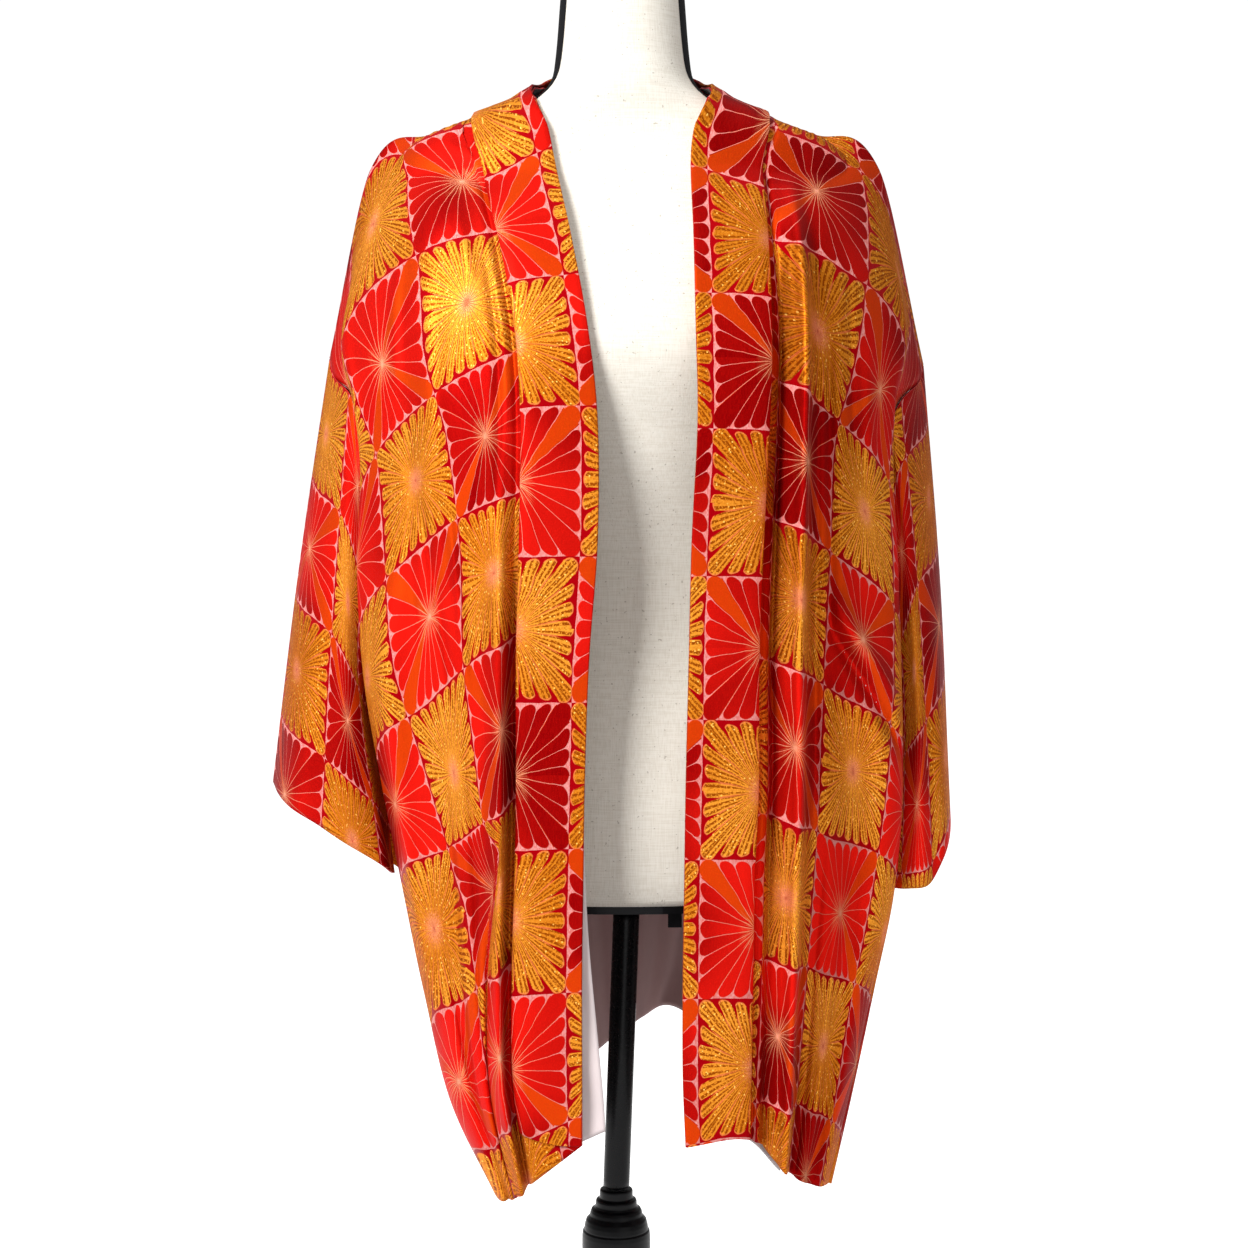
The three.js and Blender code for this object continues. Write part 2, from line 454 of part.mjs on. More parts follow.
function addStand() {
  const capProfile = [[0, 0], [41, 0], [42, 3], [40, 9], [30, 14], [12, 16], [0, 16]];
  const neckCap = lathe('neck_cap', capProfile, 24, blackPlastic);
  neckCap.position.z = NECK_TOP + SEAM_GAP;
  const rim = { z: FORM_BOTTOM - SEAM_GAP, half: 128, front: 88, back: 91 };
  const rimBelow = { ...rim, z: FORM_BOTTOM - 6 };
  const ring = (section) => evenly(32).slice(0, -1).map((t) => formPoint(section, t * 2 * Math.PI));
  haori.add(neckCap, loftMesh('bottom_plate', [ring(rim), ring(rimBelow)], blackPlastic));

  const plateBottom = FORM_BOTTOM - 6;
  const flangeProfile = [[0, 0], [13, 0], [14, 2], [14, 10], [20, 11.7], [0, 11.7]];
  const flange = lathe('pole_flange', flangeProfile, 20, blackPlastic);
  flange.position.set(POLE_TOP[0], 0, plateBottom - 12);
  haori.add(flange);
  const tab = new THREE.Mesh(new THREE.BoxGeometry(10, 4, 12), blackPlastic());
  tab.name = 'cover_tab';
  tab.position.set(38, -70, plateBottom - SEAM_GAP - 6);
  haori.add(tab);

  // the pole leans about its top; hub and legs stand upright round its foot
  const tilt = POLE_RADIUS * Math.sin(POLE_LEAN);
  const poleTopZ = plateBottom - 12 - SEAM_GAP - tilt;
  const poleLength = (poleTopZ - (HUB_TOP + SEAM_GAP + tilt)) / Math.cos(POLE_LEAN);
  const tube = new THREE.CylinderGeometry(POLE_RADIUS, POLE_RADIUS, poleLength, 20);
  const pole = new THREE.Mesh(tube, blackSteel());
  pole.name = 'pole';
  pole.geometry.rotateX(Math.PI / 2);
  pole.geometry.translate(0, 0, -poleLength / 2);
  pole.rotation.y = POLE_LEAN;
  pole.position.set(POLE_TOP[0], 0, poleTopZ);
  haori.add(pole);

  const footX = POLE_TOP[0] - (poleTopZ - HUB_TOP) * Math.tan(POLE_LEAN);
  const hubProfile = [
    [0, 190], [24, 190], [26, 194], [26, 222], [24, 232], [21, 240],
    [18.5, 246], [15.5, 252], [13, 255], [13, HUB_TOP], [0, HUB_TOP],
  ];
  const hub = lathe('hub', hubProfile, 20, blackPlastic);
  hub.position.x = footX;
  const columnProfile = [[0, 96], [30, 96], [34, 104], [34, 180], [31, 189.7], [0, 189.7]];
  const column = lathe('hub_column', columnProfile, 20, blackPlastic);
  column.position.x = footX;
  haori.add(hub, column);

  const legPath = new THREE.CatmullRomCurve3([[36, 168], [84, 158], [140, 110], [190, 44], [FOOT_REACH, 17]]
    .map(([r, z]) => new THREE.Vector3(r, 0, z)));
  const section = new THREE.Shape(evenly(8).slice(0, -1).map((t) =>
    new THREE.Vector2(11 * Math.cos(t * 2 * Math.PI), 8 * Math.sin(t * 2 * Math.PI))));
  for (let k = 0; k < LEG_COUNT; k += 1) {
    const turn = -Math.PI / 2 + (k * 2 * Math.PI) / LEG_COUNT;
    const bar = new THREE.ExtrudeGeometry(section, { steps: 14, extrudePath: legPath, bevelEnabled: false });
    const leg = new THREE.Mesh(bar, blackSteel());
    leg.name = `leg_${k + 1}`;
    leg.position.x = footX;
    leg.rotation.z = turn;
    const footProfile = [[0, 0], [15, 0], [17, 2], [17, 5], [13, 9.8], [0, 9.8]];
    const foot = lathe(`foot_${k + 1}`, footProfile, 14, blackPlastic);
    foot.position.set(footX + FOOT_REACH * Math.cos(turn) * 0.97, FOOT_REACH * Math.sin(turn) * 0.97, 0);
    haori.add(leg, foot);
  }
}

// ---- the jacket ----
const acrossFront = [0, 0.08, 0.16, 0.24, 0.27, 0.3, 0.325, 0.35, 0.38, 0.42, 0.47, 0.53, 0.6, 0.67,
  0.73, 0.79, 0.83, 0.86, 0.89, 0.94, 1];
const shoulderRows = [0, 0.014, 0.03, 0.05, 0.08];
const downFront = [...shoulderRows, ...evenly(17).map((t) => 0.12 + 0.88 * t)];
const acrossBack = [...evenly(11).map((t) => t * 0.77), 0.82, 0.86, 0.92, 1];
const downBack = [...shoulderRows, ...evenly(13).map((t) => 0.12 + 0.88 * t)];
const SIDES = [
  { word: 'left', side: -1, front: FRONT_LEFT, back: BACK_LEFT },
  { word: 'right', side: 1, front: FRONT_RIGHT, back: BACK_RIGHT },
];

// Cloth edges that are sewn together stop half a seam gap short of each other.
function shiftLine(line, dx, dy, dz) {
  const shift = new THREE.Vector3(dx, dy, dz);
  line.forEach((point) => point.add(shift));
}

function addBody({ word, side, front, back }) {
  const frontGrid = panelGrid(front, side, acrossFront, downFront);
  const backGrid = panelGrid(back, side, acrossBack, downBack);
  shiftLine(frontGrid[0], 0, -EDGE_SHIFT, 0);
  shiftLine(backGrid[0], 0, EDGE_SHIFT, 0);
  const centreColumn = side < 0 ? backGrid[0].length - 1 : 0;
  backGrid.forEach((line) => {
    line[centreColumn].x = side * CENTRE_SEAM;
  });
  haori.add(wallMesh(`front_${word}`, frontGrid, CLOTH_WALL, side < 0 ? silkRed : silkGold));
  haori.add(wallMesh(`back_${word}`, backGrid, CLOTH_WALL, side < 0 ? silkGold : silkRed));
}

// The collar: over the front it lies on the panel's own points, moved out; behind the neck it
// follows its own rows down to the centre back, where the two halves meet.
function addCollar({ word, side, front, back }) {
  const widths = evenly(3);
  const bottom = COLLAR_BOTTOM[word];
  const onFront = panelGridOf(front, side, downFront, widths, (width, down) => ({
    across: width * FRONT_STATIONS.edge,
    down: down - (1 - bottom) * width * rise(down, 0.5, 1),
  }));
  shiftLine(onFront[0], 0, -EDGE_SHIFT, 0);
  const lying = moved(onFront, CLOTH_WALL / 2 + SEAM_GAP + COLLAR_WALL / 2);
  const yoke = panelGrid(back, side, evenly(36), evenly(14).map((t) => 0.14 * t));
  shiftLine(yoke[0], 0, EDGE_SHIFT, 0);
  const yokeNormals = gridNormals(yoke, false).flat();
  lying[0].forEach((point) => clearOfSheet(point, yoke.flat(), yokeNormals, COLLAR_SEAT));
  const first = side * front.facing < 0 ? [...lying[0]].reverse() : lying[0];
  const shoulder = { inner: [side * first[0].x, first[0].y, first[0].z], outer: [side * first[3].x, first[3].y, first[3].z] };
  const rows = [...COLLAR_NECK.map(({ inner, across, down }) => ({
    inner,
    outer: clearOfForm(panelPoint(back, across, down)).toArray(),
  })), shoulder];
  const places = evenly(rows.length - 1);
  const roundNeck = evenly(13).slice(0, -1).map((t) => {
    const edgePoint = (name) => new THREE.Vector3(...[0, 1, 2].map((axis) =>
      throughPoints(places, rows.map((row) => row[name][axis]), t)));
    const inner = edgePoint('inner');
    const outer = edgePoint('outer');
    const line = widths.map((width) => {
      const point = inner.clone().lerp(outer, width);
      point.z += COLLAR_ROLL * Math.sin(Math.PI * width);
      point.x *= side;
      clearOfSheet(point, yoke.flat(), yokeNormals, COLLAR_SEAT);
      point.x = side * Math.max(side * point.x, CENTRE_SEAM);
      return point;
    });
    return side * front.facing < 0 ? line.reverse() : line;
  });
  haori.add(wallMesh(`collar_${word}`, [...roundNeck, ...lying], COLLAR_WALL, silkRed));
}

// A panel grid whose places are given by a rule on column and row.
function panelGridOf(panel, side, downs, columns, rule) {
  return downs.map((row) => {
    const line = columns.map((column) => {
      const { across, down } = rule(column, row);
      const point = clearOfForm(panelPoint(panel, across, down));
      point.x *= side;
      return point;
    });
    return side * panel.facing < 0 ? line.reverse() : line;
  });
}

// The side gusset fills the wedge between the side edges of the front and the back.
function addGusset({ word, side, front, back }) {
  const downs = evenly(6).map((t) => THREE.MathUtils.lerp(GUSSET_START, 0.99, t));
  const grid = downs.map((down) => {
    const from = clearOfForm(panelPoint(front, 1, down));
    const to = clearOfForm(panelPoint(back, 1, down));
    const step = to.clone().sub(from).setLength(GUSSET_SEAM);
    from.add(step);
    to.sub(step);
    const line = evenly(3).map((t) => {
      const point = from.clone().lerp(to, t);
      point.x += 4 * down * Math.sin(Math.PI * t);
      point.x *= side;
      return point;
    });
    return side > 0 ? line.reverse() : line;
  });
  haori.add(wallMesh(`side_gusset_${word}`, grid.map((line) => line.reverse()), CLOTH_WALL, silkGold));
}

// A sleeve is a closed tube that hangs from the armhole edge of the front and the back.
function addSleeve({ word, side, front, back }) {
  const half = SLEEVE_STATIONS[word];
  const mirrored = half.slice(0, -1).reverse().map((row) => ({
    place: 1 - row.place,
    along: -row.along,
    middle: [row.middle[0] + 2, -row.middle[1] + 3, row.middle[2]],
    cuff: [row.cuff[0] + 2, -row.cuff[1] + 4, row.cuff[2]],
  }));
  mirrored.at(-1).middle = half[0].middle;
  mirrored.at(-1).cuff = half[0].cuff;
  const stations = [...half, ...mirrored];
  const places = stations.map((row) => row.place);
  const armholePoint = (along) => {
    const panel = along > 0 ? front : back;
    const edge = panelPoint(panel, 1, Math.abs(along));
    const down = Math.abs(along);
    const across = edge.clone().sub(panelPoint(panel, 0.97, down)).normalize();
    const below = panelPoint(panel, 1, down + 0.01).sub(panelPoint(panel, 1, Math.max(down - 0.01, 0)));
    const outward = across.clone().cross(below).setLength(panel.facing * SLEEVE_SEAM.lap);
    const lapped = rise(down, SLEEVE_SEAM.from, SLEEVE_SEAM.to);
    return edge.addScaledVector(across, SLEEVE_SEAM.butt * (1 - lapped)).addScaledVector(outward, lapped);
  };
  const value = (place, axis, name) => throughPoints(places, stations.map((row) => row[name][axis]), place);
  const ringPlaces = [...evenly(6).map((t) => t * 0.31), ...evenly(17).map((t) => 0.345 + 0.31 * t),
    ...evenly(6).map((t) => 0.69 + 0.31 * t)].slice(0, -1);
  const grid = evenly(6).map((reach) => ringPlaces.map((place) => {
    const start = place > 0.47 && place < 0.53
      ? armholePoint(ARMHOLE_END).lerp(armholePoint(-ARMHOLE_END), 0.5)
      : armholePoint(throughPoints(places, stations.map((row) => row.along), place));
    const starts = [start.x, start.y, start.z];
    const coordinates = starts.map((from, axis) =>
      throughPoints([0, 0.5, 1], [from, value(place, axis, 'middle'), value(place, axis, 'cuff')], reach));
    const inTucks = THREE.MathUtils.clamp((place - SLEEVE_TUCKS.from) / (SLEEVE_TUCKS.to - SLEEVE_TUCKS.from), 0, 1);
    const tuck = Math.sin(Math.PI * SLEEVE_TUCKS.count * inTucks) ** 2 * SLEEVE_TUCKS.depth * smoothStep(reach * 1.4 + 0.1);
    const outward = coordinates[0] + tuck + ARMHOLE_EASE * (1 - reach) * (inTucks > 0 && inTucks < 1 ? 1 : 0);
    return new THREE.Vector3(side * outward, coordinates[1], coordinates[2] + tuck * SLEEVE_TUCKS.rise);
  }));
  if (side > 0) grid.forEach((line) => line.reverse());
  haori.add(wallMesh(`sleeve_${word}`, grid, CLOTH_WALL, silkGold, true));
}

function addLinings({ word, side, front, back }) {
  const strip = FRONT_LININGS[word];
  const downs = evenly(10).map((t) => THREE.MathUtils.lerp(...strip.down, t));
  const hangs = strip.folded ? front : { ...front, folds: [] };
  const frontStrip = panelGridOf(hangs, side, downs, evenly(LINING_COLUMNS), (width, down) => ({
    across: THREE.MathUtils.lerp(...strip.across, width),
    down,
  }));
  const lowest = moved(frontStrip, -strip.bottom);
  const hung = moved(frontStrip, -strip.top).map((line, r) =>
    line.map((point, c) => point.lerp(lowest[r][c], smoothStep(r / 8))));
  hung.forEach((line, r) => {
    const ordered = side * front.facing < 0 ? [...line].reverse() : line;
    ordered.forEach((point, c) => {
      point.x += side * strip.swing * (1 - c / LINING_COLUMNS) * smoothStep(r / 8);
    });
  });
  haori.add(wallMesh(`front_lining_${word}`, hung, LINING_WALL, liningPink));
  const backDowns = evenly(10).map((t) => THREE.MathUtils.lerp(...BACK_LINING.down, t));
  const columns = acrossBack.filter((across) => across <= BACK_LINING.across);
  const backGrid = panelGridOf(back, side, backDowns, columns, (across, down) => ({ across, down }));
  const inside = moved(backGrid, -(CLOTH_WALL / 2 + SEAM_GAP + LINING_WALL));
  const centreColumn = side < 0 ? columns.length - 1 : 0;
  inside.forEach((line) => {
    line[centreColumn].x = side * CENTRE_SEAM;
  });
  haori.add(wallMesh(`back_lining_${word}`, inside, LINING_WALL, liningPink));
}

for (const sideTables of SIDES) {
  addBody(sideTables);
  addCollar(sideTables);
  addGusset(sideTables);
  addSleeve(sideTables);
  addLinings(sideTables);
}
addForm();
addStand();

// The origin lies on the floor, under the middle of the whole.
const middle = new THREE.Box3().setFromObject(haori).getCenter(new THREE.Vector3());
haori.position.set(-middle.x, -middle.y, 0);

export default haori;
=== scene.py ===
"""A haori in red and gold chrysanthemum-check silk, worn open on a limbless dress form and stand.

Lengths in the tables are millimetres from the form's own axis, with +Z up and the front facing -Y.
Every piece of cloth is a surface of two parameters: a place across the cloth and a place down it.
"""

import logging
import math
from dataclasses import dataclass
from enum import Enum

import bpy
import mathutils
import numpy as np
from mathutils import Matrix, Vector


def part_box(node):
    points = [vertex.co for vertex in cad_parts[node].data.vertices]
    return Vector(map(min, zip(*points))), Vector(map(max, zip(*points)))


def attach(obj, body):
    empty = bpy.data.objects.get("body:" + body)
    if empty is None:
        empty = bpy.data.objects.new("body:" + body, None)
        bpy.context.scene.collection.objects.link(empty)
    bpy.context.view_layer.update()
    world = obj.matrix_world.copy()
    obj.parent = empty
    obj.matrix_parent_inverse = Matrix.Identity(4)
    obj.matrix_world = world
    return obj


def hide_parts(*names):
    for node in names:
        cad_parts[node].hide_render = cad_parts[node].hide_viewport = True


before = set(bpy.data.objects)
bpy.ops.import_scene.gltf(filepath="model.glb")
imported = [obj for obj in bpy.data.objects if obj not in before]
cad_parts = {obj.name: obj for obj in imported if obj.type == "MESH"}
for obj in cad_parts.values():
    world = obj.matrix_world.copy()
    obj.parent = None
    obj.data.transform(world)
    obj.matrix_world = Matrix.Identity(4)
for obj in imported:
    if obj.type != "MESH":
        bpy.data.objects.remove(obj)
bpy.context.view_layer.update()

log = logging.getLogger("haori")

Array = np.ndarray
Socket = bpy.types.NodeSocket
Piece = bpy.types.Object
Colour = tuple[float, float, float]
Place = tuple[float, float, float]
ROOT = "root"
MM = 0.001
# a closed end is a ring of this share of the section's size
CLOSING = 0.02


# ---------------------------------------------------------------- small mathematics
def hermite(knots: list[float], places: Array) -> Array:
    """Weights of a smooth curve through knots.

    Each span is the cubic with the values at its two ends and the mean slopes of its neighbours.

    Args:
        knots: where the values are known.
        places: where the curve is wanted.

    Returns:
        A matrix that turns the values at the knots into values at the places.
    """
    k = np.asarray(knots, float)
    p = np.asarray(places, float)
    n = len(k)
    span = np.clip(np.searchsorted(k, p, side="right") - 1, 0, n - 2)
    width = k[span + 1] - k[span]
    t = (p - k[span]) / width
    u = 1 - t
    identity = np.eye(n)
    before = np.maximum(np.arange(n) - 1, 0)
    after = np.minimum(np.arange(n) + 1, n - 1)
    slope = (identity[after] - identity[before]) / (k[after] - k[before])[:, None]
    return (
        identity[span] * ((1 + 2 * t) * u * u)[:, None]
        + slope[span] * (width * t * u * u)[:, None]
        + identity[span + 1] * ((3 - 2 * t) * t * t)[:, None]
        - slope[span + 1] * (width * t * t * u)[:, None]
    )


def smooth(t: Array) -> Array:
    """An even step from 0 to 1: three t squared less two t cubed, with t held between 0 and 1."""
    t = np.clip(t, 0.0, 1.0)
    return t * t * (3 - 2 * t)


def rise(t: Array, start: float, end: float) -> Array:
    """An even step from 0 at start to 1 at end."""
    return smooth((t - start) / (end - start))


def normals_of(grid: Array, closed: bool = False) -> Array:
    """Unit normals of a grid: the cross product of the differences along and down it.

    Args:
        grid: rows by columns of points.
        closed: whether the columns wrap.

    Returns:
        Rows by columns of unit vectors.
    """
    if closed:
        along = np.roll(grid, -1, axis=1) - np.roll(grid, 1, axis=1)
    else:
        along = np.gradient(grid, axis=1)
    down = np.gradient(grid, axis=0)
    normal = np.cross(along, down)
    return normal / np.maximum(np.linalg.norm(normal, axis=2, keepdims=True), 1e-9)


# ---------------------------------------------------------------- meshes
def add_mesh(name: str, points: Array, faces: Array, uv: Array | None = None) -> Piece:
    """Puts points and quads into a new smooth mesh object.

    Args:
        name: the piece's name.
        points: vertices in millimetres in the form's own frame.
        faces: vertex numbers, four a row, counter-clockwise seen from outside.
        uv: one pair in metres for each corner of each face.

    Returns:
        The new object.
    """
    mesh = bpy.data.meshes.new(name)
    corners = faces.reshape(-1)
    mesh.vertices.add(len(points))
    mesh.vertices.foreach_set("co", (to_frame(points)).astype(np.float32).ravel())
    mesh.loops.add(len(corners))
    mesh.loops.foreach_set("vertex_index", corners.astype(np.int32))
    mesh.polygons.add(len(faces))
    mesh.polygons.foreach_set("loop_start", np.arange(0, len(corners), 4, dtype=np.int32))
    mesh.polygons.foreach_set("loop_total", np.full(len(faces), 4, dtype=np.int32))
    mesh.polygons.foreach_set("use_smooth", np.ones(len(faces), dtype=bool))
    if uv is not None:
        layer = mesh.uv_layers.new(name="cloth")
        layer.data.foreach_set("uv", uv.astype(np.float32).ravel())
    mesh.update(calc_edges=True)
    mesh.validate()
    made = bpy.data.objects.new(name, mesh)
    bpy.context.scene.collection.objects.link(made)
    return made


def to_frame(points: Array) -> Array:
    """Moves points from the form's axis, the middle of the neck's cap, to the part's frame.

    Args:
        points: places in millimetres.

    Returns:
        The places in metres.
    """
    low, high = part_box("neck_cap")
    axis = np.array([(low.x + high.x) / 2, (low.y + high.y) / 2, 0.0])
    return points * MM + axis


def grid_quads(rows: int, columns: int, closed: bool) -> tuple[Array, Array]:
    """Quads of a grid: each has a corner, the one below it, the one across, and the one above that.

    Args:
        rows: how many rows of points.
        columns: how many columns of points.
        closed: whether the columns wrap.

    Returns:
        The vertex numbers, and each corner's row and column before the columns wrap.
    """
    spans = columns if closed else columns - 1
    r, c = np.meshgrid(np.arange(rows - 1), np.arange(spans), indexing="ij")
    r, c = r.ravel(), c.ravel()
    corner_rows = np.stack([r, r + 1, r + 1, r], axis=1)
    corner_columns = np.stack([c, c, c + 1, c + 1], axis=1)
    faces = corner_rows * columns + corner_columns % columns
    return faces, np.stack([corner_rows, corner_columns], axis=2)


def grid_mesh(name: str, grid: Array, uv: Array | None = None, closed: bool = False,
              flip: bool = False) -> Piece:
    """A mesh through a grid of points; a closed one wraps from its last column to its first.

    Args:
        name: the piece's name.
        grid: rows by columns of points.
        uv: rows by columns of pairs, with one more column where the grid is closed.
        closed: whether the columns wrap.
        flip: whether the faces turn the other way.

    Returns:
        The new object.
    """
    rows, columns = grid.shape[:2]
    faces, places = grid_quads(rows, columns, closed)
    if flip:
        faces, places = faces[:, ::-1], places[:, ::-1]
    corner_uv = None if uv is None else uv[places[..., 0], places[..., 1]]
    return add_mesh(name, grid.reshape(-1, 3), faces, corner_uv)


def lathe(name: str, profile: list[tuple[float, float]], sides: int = 64,
          at: tuple[float, float] = (0.0, 0.0)) -> Piece:
    """A profile turned round an upright axis: radius times the cosine and sine, at the profile's height.

    Args:
        name: the piece's name.
        profile: pairs of radius and height.
        sides: points round the axis.
        at: where the axis stands.

    Returns:
        The new object.
    """
    radius, height = np.array(profile, float).T
    places = np.concatenate([[0.0], np.cumsum(np.hypot(np.diff(radius), np.diff(height)))])
    fine = np.unique(np.concatenate([places, np.linspace(0, places[-1], 4 * len(places))]))
    radius, height = np.interp(fine, places, radius), np.interp(fine, places, height)
    angle = np.linspace(0, 2 * np.pi, sides, endpoint=False)
    grid = np.stack([at[0] + radius[:, None] * np.cos(angle), at[1] + radius[:, None] * np.sin(angle),
                     np.repeat(height[:, None], sides, axis=1)], axis=2)
    return grid_mesh(name, grid, closed=True, flip=height[-1] > height[0])


def sweep(name: str, path: Array, across: float, along: float, sides: int = 20) -> Piece:
    """An oval section carried along a path that lies in an upright plane, closed at both ends.

    A point is the path's, plus the cosine of an angle across it and the sine along its plane.

    Args:
        name: the piece's name.
        path: points of the centre line.
        across: half the section's width, level.
        along: half the section's height, in the plane of the path.
        sides: points round the section.

    Returns:
        The new object.
    """
    tangent = np.gradient(path, axis=0)
    tangent /= np.linalg.norm(tangent, axis=1, keepdims=True)
    level = np.cross(tangent, [0.0, 0.0, 1.0])
    level /= np.linalg.norm(level, axis=1, keepdims=True)
    upright = np.cross(level, tangent)
    angle = np.linspace(0, 2 * np.pi, sides, endpoint=False)
    path, level, upright = (np.concatenate([row[:1], row, row[-1:]]) for row in (path, level, upright))
    size = np.ones(len(path))
    size[[0, -1]] = CLOSING
    grid = (path[:, None] + size[:, None, None] * (across * np.cos(angle)[None, :, None] * level[:, None]
            + along * np.sin(angle)[None, :, None] * upright[:, None]))
    return grid_mesh(name, grid, closed=True, flip=True)


def wall_mesh(name: str, grid: Array, uv: Array | None, thickness: float, closed: bool = False,
              flip: bool = False) -> Piece:
    """A sheet with an even wall: a skin half a wall out, one half a wall in, and rims between them.

    The outer skin's faces take the first material, the inner skin's the second and the rims' the
    third, where the piece has them.

    Args:
        name: the piece's name.
        grid: rows by columns of points on the wall's middle.
        uv: rows by columns of pairs, with one more column where the grid is closed.
        thickness: the wall.
        closed: whether the columns wrap.
        flip: whether the outer side is the other one.

    Returns:
        The new object.
    """
    rows, columns = grid.shape[:2]
    outward = normals_of(grid, closed) * (1 if flip else -1) * thickness / 2
    points = np.concatenate([(grid + outward).reshape(-1, 3), (grid - outward).reshape(-1, 3)])
    _, places = grid_quads(rows, columns, closed)
    outer = np.concatenate([places, np.zeros((len(places), 4, 1), int)], axis=2)
    inner = outer[:, ::-1] + np.array([0, 0, 1])
    spans = np.arange(columns if closed else columns - 1)
    first, last = np.zeros_like(spans), np.full_like(spans, rows - 1)

    def rim(r: list[Array], c: list[Array], layers: tuple[int, ...]) -> Array:
        """Quads from the rows, the columns and the skins of their corners."""
        return np.stack([np.stack([a, b, np.full_like(a, k)], axis=1) for a, b, k in zip(r, c, layers)],
                        axis=1)

    rims = [rim([first] * 4, [spans, spans + 1, spans + 1, spans], (0, 0, 1, 1)),
            rim([last] * 4, [spans, spans, spans + 1, spans + 1], (0, 1, 1, 0))]
    if not closed:
        r = np.arange(rows - 1)
        start, end = np.zeros_like(r), np.full_like(r, columns - 1)
        rims += [rim([r, r, r + 1, r + 1], [start] * 4, (0, 1, 1, 0)),
                 rim([r, r + 1, r + 1, r], [end] * 4, (0, 0, 1, 1))]
    rims = np.concatenate(rims)
    corners = np.concatenate([outer, inner, rims])
    if flip:
        corners = corners[:, ::-1]
    faces = corners[..., 2] * rows * columns + corners[..., 0] * columns + corners[..., 1] % columns
    corner_uv = None if uv is None else uv[corners[..., 0], corners[..., 1]]
    made = add_mesh(name, points, faces, corner_uv)
    skins = np.concatenate([np.zeros(len(outer)), np.ones(len(inner)), np.full(len(rims), 2)])
    made.data.attributes.new("skin", "INT", "FACE").data.foreach_set("value", skins.astype(np.int32))
    return made


